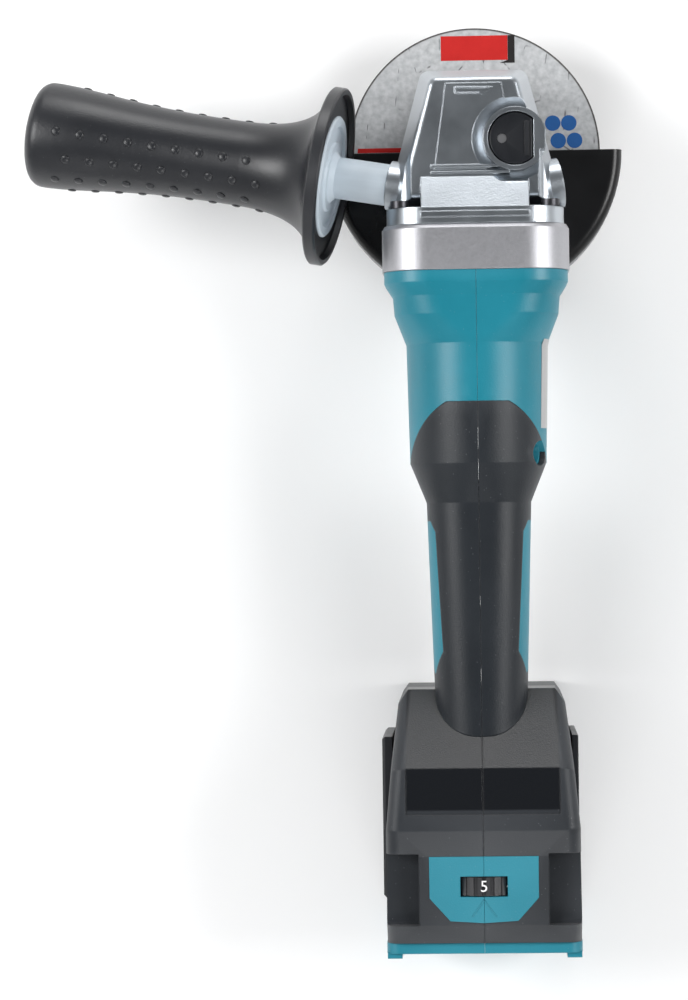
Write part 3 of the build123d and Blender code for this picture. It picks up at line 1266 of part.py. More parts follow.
with BuildPart() as paddle_pin:
    with BuildSketch(Plane.YZ.offset(-PADDLE_PIN_LENGTH / 2)):
        with Locations(PADDLE_PIVOT):
            Circle(PADDLE_PIN_DIAMETER / 2)
    extrude(amount=PADDLE_PIN_LENGTH)
save(paddle_pin.part, "paddle_pin")

paddle_spring = coil_spring(
    (-4.6, PADDLE_PIVOT[0], PADDLE_PIVOT[1]), (1, 0, 0), 0.5, PADDLE_PIN_DIAMETER / 2 + 0.95, 9.2, 6
)
save(paddle_spring, "paddle_spring")

with BuildPart() as lock_off_pin:
    with BuildSketch(Plane.YZ.offset(-11.0)):
        with Locations(LOCK_LEVER_PIVOT):
            Circle(LOCK_PIN_DIAMETER / 2)
    extrude(amount=22.0)
save(lock_off_pin.part, "lock_off_pin")

lever_y, lever_z = LOCK_LEVER_PIVOT
with BuildPart() as lock_off_lever:
    with BuildSketch(Plane.YZ):
        with Locations(LOCK_LEVER_PIVOT):
            Circle(3.0)
        outline_face(
            [
                (lever_y - 2.6, lever_z),
                (lever_y + 2.6, lever_z),
                (lever_y, lever_z - 11.5),
                (lever_y - 3.4, lever_z - 11.5),
            ]
        )
        outline_face(
            [
                (lever_y - 1.8, lever_z),
                (lever_y + 1.8, lever_z),
                (lever_y + 1.2, lever_z + 6.5),
                (lever_y - 1.2, lever_z + 6.5),
            ]
        )
        with Locations(LOCK_LEVER_PIVOT):
            Circle(LOCK_PIN_DIAMETER / 2 + RUNNING_FIT, mode=Mode.SUBTRACT)
    extrude(amount=LOCK_LEVER_WIDTH / 2, both=True)
save(lock_off_lever.part, "lock_off_lever")

with BuildPart() as trigger_switch:
    switch_half = SWITCH_SIZE[0] / 2
    switch_y = (PLUNGER_Y - SWITCH_SIZE[1] / 2, PLUNGER_Y + SWITCH_SIZE[1] / 2)
    block((-switch_half, switch_half), switch_y, (SWITCH_FLOOR_Z, SWITCH_FLOOR_Z + SWITCH_SIZE[2]))
    chamfer(trigger_switch.edges(), length=0.8)
    with BuildSketch(Plane.XY.offset(SWITCH_FLOOR_Z - 1.0)):
        with Locations((0, PLUNGER_Y)):
            Circle(PLUNGER_DIAMETER / 2 + RUNNING_FIT)
    extrude(amount=11.0, mode=Mode.SUBTRACT)
    tab_y = (switch_y[0] - 6.0, switch_y[0] + 1.0)
    tab_z = (SWITCH_FLOOR_Z + 6.0, SWITCH_FLOOR_Z + 11.0)
    for tab_x in (-4.0, 4.0):
        block((tab_x - 0.4, tab_x + 0.4), tab_y, tab_z)
save(trigger_switch.part, "trigger_switch")

PLUNGER_FOOT_Z = 19.3
with BuildPart() as switch_plunger:
    with BuildSketch(Plane.XY.offset(PLUNGER_FOOT_Z)):
        with Locations((0, PLUNGER_Y)):
            Circle(PLUNGER_DIAMETER / 2)
    extrude(amount=SWITCH_FLOOR_Z + 3.0 - PLUNGER_FOOT_Z)
    fillet(switch_plunger.edges().sort_by(Axis.Z)[0], radius=1.0)
save(switch_plunger.part, "switch_plunger")

# ---------------------------------------------------------------- electrics in the base
with BuildPart() as controller:
    block((-25.0, 25.0), (-272.0, -226.0), (2.0, 5.0))
    block((-23.0, 23.0), (-270.0, -228.0), (5.0, 17.0))
    for fin in range(6):
        fin_x = -17.5 + 7.0 * fin
        block((fin_x - 1.2, fin_x + 1.2), (-266.0, -232.0), (17.0, 23.0))
save(controller.part, "controller")

with BuildPart() as terminal_block:
    terminal_half = TERMINAL_HALF - 0.5
    block_z = (TERMINAL_Z[0] + 0.5, TERMINAL_Z[1] - 0.5)
    block((-terminal_half, terminal_half), (RIM_REAR_Y, TERMINAL_FRONT_Y), block_z)
    slot_z = (TERMINAL_Z[0] + 6.0, TERMINAL_Z[1] - 6.0)
    for x in TERMINAL_X:
        block((x - 0.4, x + 0.4), (RIM_REAR_Y, TERMINAL_FRONT_Y - 2.0), slot_z, mode=Mode.SUBTRACT)
save(terminal_block.part, "terminal_block")

with BuildPart() as terminals:
    for x in TERMINAL_X:
        block((x - 0.4, x + 0.4), (RAIL_REAR_Y - 0.8, TERMINAL_FRONT_Y - 2.0), (TERMINAL_Z[0] + 6.0, TERMINAL_Z[1] - 6.0))
save(terminals.part, "terminals")

# ---------------------------------------------------------------- motor
with BuildPart() as rotor_shaft:
    motor_ring(FLANGE_FRONT_Y + 0.4, -pinion_inner[1], 0, NOSE_RADIUS)
    motor_ring(-98.0, FLANGE_FRONT_Y + 0.4, 0, SHAFT_DIAMETER / 2 - RUNNING_FIT)
    motor_ring(REAR_BEARING_Y - REAR_BEARING_WIDTH, -98.0, 0, SHAFT_DIAMETER / 2 - 1.0 - RUNNING_FIT)
save(rotor_shaft.part, "rotor_shaft")

with BuildPart() as rotor_core:
    motor_ring(STATOR_REAR_Y, STATOR_FRONT_Y, SHAFT_DIAMETER / 2 - RUNNING_FIT, ROTOR_RADIUS)
save(rotor_core.part, "rotor_core")

with BuildPart() as rotor_bearing_front:
    motor_ring(FLANGE_REAR_Y, FLANGE_FRONT_Y, SHAFT_DIAMETER / 2, FRONT_BEARING_OD / 2)
    motor_ring(FLANGE_REAR_Y, FLANGE_REAR_Y + 0.6, 6.0, 9.4, mode=Mode.SUBTRACT)
save(rotor_bearing_front.part, "rotor_bearing_front")

with BuildPart() as rotor_bearing_rear:
    motor_ring(REAR_BEARING_Y - REAR_BEARING_WIDTH, REAR_BEARING_Y, SHAFT_DIAMETER / 2 - 1.0, REAR_BEARING_OD / 2)
    motor_ring(REAR_BEARING_Y - 0.6, REAR_BEARING_Y, 5.0, 8.0, mode=Mode.SUBTRACT)
save(rotor_bearing_rear.part, "rotor_bearing_rear")

FAN_Y = (-47.0, -37.5)
with BuildPart() as cooling_fan:
    motor_ring(FAN_Y[0], FAN_Y[1], SHAFT_DIAMETER / 2 - RUNNING_FIT, 8.0)
    motor_ring(FAN_Y[1] - 1.6, FAN_Y[1], SHAFT_DIAMETER / 2 - RUNNING_FIT, FAN_RADIUS - 0.6)
    with BuildSketch(Plane.XZ.offset(-FAN_Y[1])):
        with Locations((0, MOTOR_Z)):
            with PolarLocations((FAN_RADIUS + 7.0) / 2, FAN_BLADES):
                Rectangle(FAN_RADIUS - 7.0, 1.3, rotation=24.0)
    extrude(amount=FAN_Y[1] - FAN_Y[0])
save(cooling_fan.part, "cooling_fan")

COIL_PLACE = 17.0
with BuildPart() as stator:
    motor_ring(STATOR_REAR_Y, STATOR_FRONT_Y, STATOR_BORE, STATOR_RADIUS)
    with BuildSketch(Plane.XZ.offset(-STATOR_FRONT_Y)):
        with Locations((0, MOTOR_Z)):
            with PolarLocations(COIL_PLACE, SLOT_COUNT):
                Circle(3.2)
    extrude(amount=STATOR_FRONT_Y - STATOR_REAR_Y, mode=Mode.SUBTRACT)
save(stator.part, "stator")

with BuildPart() as stator_coils:
    with BuildSketch(Plane.XZ.offset(-STATOR_FRONT_Y)):
        with Locations((0, MOTOR_Z)):
            with PolarLocations(COIL_PLACE, SLOT_COUNT):
                Circle(3.1)
    extrude(amount=STATOR_FRONT_Y - STATOR_REAR_Y)
    motor_ring(STATOR_FRONT_Y, STATOR_FRONT_Y + 3.5, 13.5, 21.0)
    motor_ring(STATOR_REAR_Y - 3.5, STATOR_REAR_Y, 13.5, 21.0)
save(stator_coils.part, "stator_coils")

with BuildPart() as sensor_board:
    motor_ring(-99.6, -98.0, 8.0, 19.0)
save(sensor_board.part, "sensor_board")

# ---------------------------------------------------------------- side handle
handle_side = Vector(0, 0, 1).cross(HANDLE_DIRECTION).normalized()
handle_frame = Plane(origin=HANDLE_ORIGIN, x_dir=handle_side, z_dir=handle_side.cross(HANDLE_DIRECTION))
handle_axis = Axis(HANDLE_ORIGIN, HANDLE_DIRECTION)
DISC_Y = NECK_LENGTH + FREE_GAP
DISC_THICKNESS = 3.6
STUD_BORE = STUD_DIAMETER / 2 + RUNNING_FIT
TUBE_RADIUS = 11.0
TUBE_END = DISC_Y + 14.0
with BuildPart() as handle_core:
    turned(
        [
            (STUD_BORE, FREE_GAP),
            (NECK_DIAMETER / 2, FREE_GAP),
            (NECK_DIAMETER / 2, DISC_Y - 2.0),
            (NECK_DIAMETER / 2 + 2.0, DISC_Y),
            (13.0, DISC_Y),
            (13.6, DISC_Y + 1.0),
            (19.0, DISC_Y + 1.0),
            (19.6, DISC_Y),
            (DISC_DIAMETER / 2 - 0.8, DISC_Y),
            (DISC_DIAMETER / 2, DISC_Y + 0.8),
            (DISC_DIAMETER / 2, DISC_Y + DISC_THICKNESS),
            (TUBE_RADIUS, DISC_Y + DISC_THICKNESS),
            (TUBE_RADIUS, TUBE_END),
            (STUD_BORE, TUBE_END),
        ],
        handle_frame,
        handle_axis,
    )
save(handle_core.part, "handle_core")

with BuildPart() as handle_stud:
    with BuildSketch(Plane(origin=HANDLE_ORIGIN - HANDLE_DIRECTION * STUD_ENGAGEMENT, z_dir=HANDLE_DIRECTION)):
        Circle(STUD_DIAMETER / 2 - RUNNING_FIT)
    extrude(amount=STUD_ENGAGEMENT + TUBE_END - 1.0)
    chamfer(handle_stud.edges().sort_by(Axis.X)[-1], length=0.8)
save(handle_stud.part, "handle_stud")

RIM_RADIUS = COLLAR_DISC_DIAMETER / 2
GRIP_END = DISC_Y + HANDLE_LENGTH
WAIST_RADIUS = HANDLE_WAIST_DIAMETER / 2
END_RADIUS = HANDLE_END_DIAMETER / 2
END_ROUND = 7.0
WAIST_Y = DISC_Y + 34.0
with BuildPart() as handle_grip:
    with BuildSketch(handle_frame) as grip_section:
        with BuildLine() as grip_outline:
            Polyline(
                (0, TUBE_END),
                (TUBE_RADIUS, TUBE_END),
                (TUBE_RADIUS, DISC_Y + DISC_THICKNESS),
                (DISC_DIAMETER / 2, DISC_Y + DISC_THICKNESS),
                (DISC_DIAMETER / 2, DISC_Y + 1.2),
                (RIM_RADIUS - 3.4, DISC_Y + 1.2),
                (RIM_RADIUS - 2.4, DISC_Y - 0.8),
                (RIM_RADIUS - 0.6, DISC_Y - 0.8),
                (RIM_RADIUS, DISC_Y - 0.2),
                (RIM_RADIUS, DISC_Y + COLLAR_DISC_THICKNESS - 0.6),
                (RIM_RADIUS - 0.6, DISC_Y + COLLAR_DISC_THICKNESS),
            )
            Bezier(
                (RIM_RADIUS - 0.6, DISC_Y + COLLAR_DISC_THICKNESS),
                (WAIST_RADIUS + 8.0, DISC_Y + COLLAR_DISC_THICKNESS + 1.0),
                (WAIST_RADIUS + 1.4, DISC_Y + 14.0),
                (WAIST_RADIUS + 0.9, WAIST_Y),
            )
            Bezier(
                (WAIST_RADIUS + 0.9, WAIST_Y),
                (WAIST_RADIUS, DISC_Y + 80.0),
                (END_RADIUS, GRIP_END - 26.0),
                (END_RADIUS, GRIP_END - END_ROUND),
            )
            Bezier(
                (END_RADIUS, GRIP_END - END_ROUND),
                (END_RADIUS, GRIP_END - 1.0),
                (END_RADIUS - END_ROUND, GRIP_END),
                (0, GRIP_END),
            )
            Line((0, GRIP_END), (0, TUBE_END))
        make_face()
    revolve(axis=handle_axis)
save(handle_grip.part, "handle_grip")
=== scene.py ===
"""Looks of a cordless angle grinder: materials, small mouldings, studio and camera."""

import logging
import math
from dataclasses import dataclass
from enum import Enum

import bmesh
import bpy
from mathutils import Matrix, Vector


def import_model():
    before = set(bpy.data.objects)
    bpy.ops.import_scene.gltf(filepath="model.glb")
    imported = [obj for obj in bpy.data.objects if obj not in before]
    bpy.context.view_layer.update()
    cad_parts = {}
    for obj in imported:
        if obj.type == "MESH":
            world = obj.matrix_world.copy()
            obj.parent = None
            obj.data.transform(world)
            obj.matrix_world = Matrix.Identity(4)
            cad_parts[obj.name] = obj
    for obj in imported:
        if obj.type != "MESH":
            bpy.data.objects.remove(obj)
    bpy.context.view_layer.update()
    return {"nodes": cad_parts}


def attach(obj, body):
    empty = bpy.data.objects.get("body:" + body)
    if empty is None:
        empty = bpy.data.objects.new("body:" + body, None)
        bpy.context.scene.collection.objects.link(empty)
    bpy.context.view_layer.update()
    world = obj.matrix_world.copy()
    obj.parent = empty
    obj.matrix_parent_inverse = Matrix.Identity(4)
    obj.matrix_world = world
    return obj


logging.basicConfig(level=logging.INFO, format="%(message)s")
LOG = logging.getLogger("grinder")

MM = 0.001
UP = Vector((0.0, 0.0, 1.0))

Colour = tuple[float, float, float]
Span = tuple[float, float]
Outline = tuple[tuple[float, float], ...]


class Graph:
    """The node tree of one material, with short calls that add and wire its nodes."""

    def __init__(self, name: str) -> None:
        """Start a material on object coordinates.

        Args:
            name: Name of the material.
        """
        self.material = bpy.data.materials.new(name)
        self.material.use_nodes = True
        self.nodes = self.material.node_tree.nodes
        self.links = self.material.node_tree.links
        self.shader = self.nodes["Principled BSDF"]
        self.place = self.nodes.new("ShaderNodeTexCoord").outputs["Object"]

    def noise(
        self, scale: float, detail: float = 2.0, roughness: float = 0.5
    ) -> bpy.types.NodeSocket:
        """Add soft noise.

        Args:
            scale: Waves in a metre.
            detail: Number of finer layers.
            roughness: Strength of the finer layers.

        Returns:
            The noise, about 0.5 on average.
        """
        node = self.nodes.new("ShaderNodeTexNoise")
        node.inputs["Scale"].default_value = scale
        node.inputs["Detail"].default_value = detail
        node.inputs["Roughness"].default_value = roughness
        self.links.new(self.place, node.inputs["Vector"])
        return node.outputs["Fac"]

    def ramp(
        self, value: bpy.types.NodeSocket, stops: Span, low: Colour, high: Colour
    ) -> bpy.types.NodeSocket:
        """Turn a value into a colour between two colours.

        Args:
            value: What to colour.
            stops: Values at which the low and the high colour are reached.
            low: Colour at the first stop.
            high: Colour at the second stop.

        Returns:
            The colour.
        """
        node = self.nodes.new("ShaderNodeValToRGB")
        elements = node.color_ramp.elements
        for element, stop, colour in zip(elements, stops, (low, high)):
            element.position = stop
            element.color = (*colour, 1.0)
        self.links.new(value, node.inputs["Fac"])
        return node.outputs["Color"]

    def remap(
        self, value: bpy.types.NodeSocket, source: Span, target: Span = (0.0, 1.0)
    ) -> bpy.types.NodeSocket:
        """Stretch one range of values to another and clamp it there.

        Args:
            value: What to stretch.
            source: Values that become the ends of the target.
            target: The new ends.

        Returns:
            The stretched value.
        """
        node = self.nodes.new("ShaderNodeMapRange")
        ends = ("From Min", "From Max", "To Min", "To Max")
        for end, number in zip(ends, (*source, *target)):
            node.inputs[end].default_value = number
        self.links.new(value, node.inputs["Value"])
        return node.outputs["Result"]

    def cover(
        self, amount: bpy.types.NodeSocket, base: bpy.types.NodeSocket, top: Colour | float
    ) -> bpy.types.NodeSocket:
        """Lay a colour or a number over another where the amount is high.

        Args:
            amount: How much of the top shows.
            base: What lies under it.
            top: The colour or number laid over it.

        Returns:
            The mixture.
        """
        node = self.nodes.new("ShaderNodeMix")
        if isinstance(top, tuple):
            node.data_type = "RGBA"
            node.inputs["B"].default_value = (*top, 1.0)
        else:
            node.inputs["B"].default_value = top
        self.links.new(amount, node.inputs["Factor"])
        self.links.new(base, node.inputs["A"])
        return node.outputs["Result"]

    def math(
        self, operation: str, first: bpy.types.NodeSocket, second: bpy.types.NodeSocket
    ) -> bpy.types.NodeSocket:
        """Calculate with two values.

        Args:
            operation: Name of the calculation.
            first: First value.
            second: Second value.

        Returns:
            The result.
        """
        node = self.nodes.new("ShaderNodeMath")
        node.operation = operation
        self.links.new(first, node.inputs[0])
        self.links.new(second, node.inputs[1])
        return node.outputs["Value"]

    def vector(
        self, operation: str, first: bpy.types.NodeSocket, second: Colour | None = None
    ) -> bpy.types.Node:
        """Calculate with a vector.

        Args:
            operation: Name of the calculation.
            first: The vector.
            second: A constant second vector, if the calculation takes one.

        Returns:
            The node, because some calculations give a vector and some a value.
        """
        node = self.nodes.new("ShaderNodeVectorMath")
        node.operation = operation
        if second is not None:
            node.inputs[1].default_value = second
        self.links.new(first, node.inputs[0])
        return node

    def split(self, vector: bpy.types.NodeSocket) -> bpy.types.NodeOutputs:
        """Take a vector apart.

        Args:
            vector: The vector.

        Returns:
            Its sockets, by the names X, Y and Z.
        """
        node = self.nodes.new("ShaderNodeSeparateXYZ")
        self.links.new(vector, node.inputs["Vector"])
        return node.outputs

    def finish(
        self,
        colour: bpy.types.NodeSocket,
        roughness: bpy.types.NodeSocket,
        grain: bpy.types.NodeSocket,
        strength: float,
        depth: float,
        normal: bpy.types.NodeSocket | None = None,
    ) -> bpy.types.Material:
        """Wire the shader's colour, roughness and bump.

        Args:
            colour: Base colour.
            roughness: Roughness.
            grain: Height of the grain.
            strength: Strength of the grain's bump.
            depth: Depth of the grain, in metres.
            normal: Normal that the bump is added to, or none for the surface's own.

        Returns:
            The finished material.
        """
        bump = self.nodes.new("ShaderNodeBump")
        bump.inputs["Strength"].default_value = strength
        bump.inputs["Distance"].default_value = depth
        self.links.new(grain, bump.inputs["Height"])
        if normal is not None:
            self.links.new(normal, bump.inputs["Normal"])
        self.links.new(colour, self.shader.inputs["Base Color"])
        self.links.new(roughness, self.shader.inputs["Roughness"])
        self.links.new(bump.outputs["Normal"], self.shader.inputs["Normal"])
        return self.material


PATCH_DETAIL = 6.0
PATCH_ROUGHNESS = 0.62
PATCH_STOPS: Span = (0.3, 0.7)
PATCH_LIFT = 0.002
# Painted highlight on sharp edges: pointiness span where it fades in, and gain and lift of its
# lighter colour.
EDGE_HIGHLIGHT_SPAN: Span = (0.53, 0.62)
EDGE_HIGHLIGHT_GAIN = 1.5
EDGE_HIGHLIGHT_LIFT = 0.05
SPECK_SCALE = 420.0
SPECK_SPAN: Span = (0.07, 0.03)
DUST_COLOUR: Colour = (0.45, 0.47, 0.5)
# soft border of the box of painted shade
SHADE_ZONE_EDGE: Span = (1.01, 0.98)
SMOOTHEST = 0.03
ROUGHNESS_BELOW = 0.07
ROUGHNESS_ABOVE = 0.09
CORNER_SAMPLES = 3
GRAIN_DEPTH = 0.25 * MM
RUBBER_SHEEN = 0.04
RUBBER_SHEEN_ROUGHNESS = 0.5


class Coat(Enum):
    """How the surface of a finish is made."""

    PLASTIC = "plastic"
    RUBBER = "rubber"
    METAL = "metal"
    PAINT = "paint"


@dataclass(frozen=True)
class Finish:
    """One surface finish and the procedural material that shows it.

    The edge radius and the shade zone's three spans, which box in painted shade, are in
    millimetres.
    """

    name: str
    colour: Colour
    coat: Coat = Coat.PLASTIC
    roughness: float = 0.5
    vary: float = 0.12
    patch_scale: float = 18.0
    grain_scale: float = 2600.0
    grain: float = 0.12
    edge_radius: float = 0.35
    # strength of the painted highlight that lightens sharp edges
    edge_light: float = 0.25
    specular: float = 0.5
    clearcoat: float = 0.0
    dust: float = 0.0
    # box of painted shade: a darker colour and its own roughness inside it
    zone: tuple[Span, Span, Span] | None = None
    zone_colour: Colour = (0.0, 0.0, 0.0)
    zone_roughness: float = 0.3

    def _patches(self, graph: Graph) -> bpy.types.NodeSocket:
        """Return soft noise for the larger patches of colour and gloss."""
        return graph.noise(self.patch_scale, PATCH_DETAIL, PATCH_ROUGHNESS)

    def _worn_colour(
        self, graph: Graph, patches: bpy.types.NodeSocket
    ) -> bpy.types.NodeSocket:
        """Vary the colour in patches, paint a highlight on sharp edges and sprinkle dust.

        Args:
            graph: The material's nodes.
            patches: Noise for the patches.

        Returns:
            The colour.
        """
        low = tuple(part * (1.0 - self.vary) for part in self.colour)
        high = tuple(min(1.0, part * (1.0 + self.vary) + PATCH_LIFT) for part in self.colour)
        # lighter colour of the painted highlight on sharp edges
        edge_highlight_colour = tuple(min(1.0, part * EDGE_HIGHLIGHT_GAIN + EDGE_HIGHLIGHT_LIFT) for part in self.colour)
        shade = graph.ramp(patches, PATCH_STOPS, low, high)
        geometry = graph.nodes.new("ShaderNodeNewGeometry")
        edges = graph.remap(geometry.outputs["Pointiness"], EDGE_HIGHLIGHT_SPAN, (0.0, self.edge_light))
        shade = graph.cover(edges, shade, edge_highlight_colour)
        if self.dust > 0:
            specks = graph.nodes.new("ShaderNodeTexVoronoi")
            specks.inputs["Scale"].default_value = SPECK_SCALE
            graph.links.new(graph.place, specks.inputs["Vector"])
            shown = graph.remap(specks.outputs["Distance"], SPECK_SPAN, (0.0, self.dust))
            shade = graph.cover(shown, shade, DUST_COLOUR)
        return shade

    def _zone_mask(self, graph: Graph) -> bpy.types.NodeSocket:
        """Mask the finish's box-shaped zone of painted shade.

        Args:
            graph: The material's nodes.

        Returns:
            A mask that is one inside the zone of painted shade.
        """
        centre = tuple((low + high) / 2 * MM for low, high in self.zone)
        half = tuple((high - low) / 2 * MM for low, high in self.zone)
        shifted = graph.vector("SUBTRACT", graph.place, centre).outputs["Vector"]
        scaled = graph.vector("DIVIDE", shifted, half).outputs["Vector"]
        size = graph.split(graph.vector("ABSOLUTE", scaled).outputs["Vector"])
        wide = graph.math("MAXIMUM", size["X"], size["Y"])
        return graph.remap(graph.math("MAXIMUM", wide, size["Z"]), SHADE_ZONE_EDGE)

    def build(self) -> bpy.types.Material:
        """Make the material.

        Returns:
            The finished node material.
        """
        graph = Graph(self.name)
        patches = self._patches(graph)
        shade = self._worn_colour(graph, patches)
        smoothest = max(SMOOTHEST, self.roughness - ROUGHNESS_BELOW)
        roughest = min(1.0, self.roughness + ROUGHNESS_ABOVE)
        rough = graph.remap(patches, (0.0, 1.0), (smoothest, roughest))
        # painted shade: inside the zone the colour turns darker and the roughness is set apart
        if self.zone:
            mask = self._zone_mask(graph)
            shade = graph.cover(mask, shade, self.zone_colour)
            rough = graph.cover(mask, rough, self.zone_roughness)
        corner = graph.nodes.new("ShaderNodeBevel")
        corner.samples = CORNER_SAMPLES
        corner.inputs["Radius"].default_value = self.edge_radius * MM
        sockets = graph.shader.inputs
        sockets["Metallic"].default_value = 1.0 if self.coat is Coat.METAL else 0.0
        sockets["Specular IOR Level"].default_value = self.specular
        sockets["Coat Weight"].default_value = self.clearcoat
        if self.coat is Coat.RUBBER:
            sockets["Sheen Weight"].default_value = RUBBER_SHEEN
            sockets["Sheen Roughness"].default_value = RUBBER_SHEEN_ROUGHNESS
        grain = graph.noise(self.grain_scale)
        return graph.finish(
            shade, rough, grain, self.grain, GRAIN_DEPTH, corner.outputs["Normal"]
        )


CAST_ALUMINIUM = Finish(
    "cast_aluminium", (0.4, 0.43, 0.46), Coat.METAL, roughness=0.3, vary=0.08, patch_scale=60.0,
    grain_scale=1500.0, grain=0.16, edge_radius=0.6, edge_light=0.2,
)
SATIN_SILVER = Finish(
    "satin_silver", (0.4, 0.4, 0.42), Coat.METAL, roughness=0.45, vary=0.06, patch_scale=900.0,
    grain_scale=2400.0, grain=0.2, edge_radius=0.5, edge_light=0.15,
)
GROUND_STEEL = Finish(
    "ground_steel", (0.56, 0.57, 0.58), Coat.METAL, roughness=0.25, vary=0.08, patch_scale=80.0,
    grain_scale=1800.0, grain=0.08,
)
ZINC_STEEL = Finish(
    "zinc_steel", (0.66, 0.66, 0.66), Coat.METAL, roughness=0.32, vary=0.1, patch_scale=70.0,
    grain_scale=1800.0, grain=0.1,
)
GEAR_STEEL = Finish(
    "gear_steel", (0.36, 0.36, 0.37), Coat.METAL, roughness=0.35, vary=0.12, patch_scale=70.0,
    grain_scale=1800.0, grain=0.12,
)
BLACK_STEEL = Finish(
    "black_steel", (0.045, 0.045, 0.05), Coat.METAL, roughness=0.38, vary=0.15,
    patch_scale=90.0, grain_scale=1800.0, grain=0.12,
)
LAMINATION = Finish(
    "lamination_steel", (0.2, 0.2, 0.21), Coat.METAL, roughness=0.45, vary=0.1,
    patch_scale=70.0, grain_scale=3000.0, grain=0.3,
)
COPPER = Finish(
    "copper_wire", (0.6, 0.24, 0.1), Coat.METAL, roughness=0.35, vary=0.12, patch_scale=80.0,
    grain_scale=1400.0, grain=0.5,
)
BRASS = Finish(
    "brass_blade", (0.72, 0.55, 0.25), Coat.METAL, roughness=0.3, vary=0.08, patch_scale=80.0,
    grain_scale=1800.0, grain=0.08,
)
HEAT_SINK = Finish(
    "heat_sink", (0.6, 0.6, 0.61), Coat.METAL, roughness=0.4, vary=0.08, patch_scale=80.0,
    grain_scale=1800.0, grain=0.15,
)
TEAL = Finish(
    "teal_plastic", (0.002, 0.165, 0.225), Coat.PLASTIC, roughness=0.38, vary=0.1,
    patch_scale=22.0, grain_scale=1500.0, grain=0.2, edge_radius=0.4, edge_light=0.3,
    specular=0.45, clearcoat=0.0, dust=0.25,
)
GRIP_RUBBER = Finish(
    "grip_rubber", (0.0095, 0.0125, 0.0165), Coat.RUBBER, roughness=0.42, vary=0.12,
    patch_scale=26.0, grain_scale=1700.0, grain=0.22, edge_radius=0.6, edge_light=0.3,
    specular=0.32, clearcoat=0.0, dust=0.25,
)
# its zone paints shade on the base cover as a darker, glossier patch
COVER_RUBBER = Finish(
    "cover_rubber", (0.0135, 0.0165, 0.021), Coat.RUBBER, roughness=0.48, vary=0.14,
    patch_scale=24.0, grain_scale=1700.0, grain=0.25, edge_radius=0.8, edge_light=0.35,
    specular=0.4, clearcoat=0.0, dust=0.3, zone=((-29.0, 29.0), (-254.5, -200.0), (20.0, 90.0)),
    zone_colour=(0.003, 0.004, 0.006), zone_roughness=0.3,
)
HANDLE_BLACK = Finish(
    "handle_black", (0.009, 0.01, 0.013), Coat.PLASTIC, roughness=0.36, vary=0.12,
    patch_scale=30.0, grain_scale=1600.0, grain=0.2, edge_radius=0.5, edge_light=0.2,
    specular=0.5, clearcoat=0.0, dust=0.15,
)
BLACK_PLASTIC = Finish(
    "black_plastic", (0.007, 0.008, 0.0105), Coat.PLASTIC, roughness=0.36, vary=0.12,
    patch_scale=30.0, grain_scale=1600.0, grain=0.16, edge_radius=0.4, edge_light=0.2,
    specular=0.32,
)
DIAL_PLASTIC = Finish(
    "dial_plastic", (0.01, 0.01, 0.012), Coat.PLASTIC, roughness=0.32, vary=0.12,
    patch_scale=40.0, grain_scale=1600.0, grain=0.12, edge_radius=0.25, edge_light=0.5,
)
GREY_PLASTIC = Finish(
    "grey_plastic", (0.53, 0.6, 0.66), Coat.PLASTIC, roughness=0.42, vary=0.05,
    patch_scale=24.0, grain_scale=1500.0, grain=0.12, edge_radius=0.4, edge_light=0.1,
)
BLACK_SHEET = Finish(
    "black_sheet", (0.0025, 0.0025, 0.003), Coat.PAINT, roughness=0.28, vary=0.2,
    patch_scale=30.0, grain_scale=1200.0, grain=0.1, edge_radius=0.5, edge_light=0.1,
    specular=0.3, clearcoat=0.1,
)
BOARD = Finish(
    "board_green", (0.02, 0.12, 0.06), Coat.PLASTIC, roughness=0.4, vary=0.15, patch_scale=60.0,
    grain_scale=1500.0, grain=0.15,
)
SPRING_STEEL = Finish(
    "spring_steel", (0.42, 0.42, 0.44), Coat.METAL, roughness=0.28, vary=0.08, patch_scale=80.0,
    grain_scale=1800.0, grain=0.08, edge_radius=0.05,
)
RED_INK = Finish(
    "red_ink", (0.5, 0.012, 0.01), Coat.PAINT, roughness=0.5, vary=0.1, patch_scale=60.0,
    grain_scale=1800.0, grain=0.1, edge_radius=0.02, edge_light=0.0, specular=0.3,
)
BLUE_INK = Finish(
    "blue_ink", (0.015, 0.1, 0.32), Coat.PAINT, roughness=0.5, vary=0.1, patch_scale=60.0,
    grain_scale=1800.0, grain=0.1, edge_radius=0.02, edge_light=0.0, specular=0.3,
)
BLACK_INK = Finish(
    "black_ink", (0.012, 0.01, 0.01), Coat.PAINT, roughness=0.5, vary=0.1, patch_scale=60.0,
    grain_scale=1800.0, grain=0.1, edge_radius=0.02, edge_light=0.0, specular=0.3,
)
WHITE_INK = Finish(
    "white_ink", (0.8, 0.8, 0.8), Coat.PAINT, roughness=0.45, vary=0.04, patch_scale=60.0,
    grain_scale=1800.0, grain=0.05, edge_radius=0.02, edge_light=0.0, specular=0.3,
)
STICKER = Finish(
    "grey_sticker", (0.36, 0.36, 0.36), Coat.PAINT, roughness=0.35, vary=0.05, patch_scale=60.0,
    grain_scale=1800.0, grain=0.05, edge_radius=0.05, edge_light=0.0, specular=0.5,
)

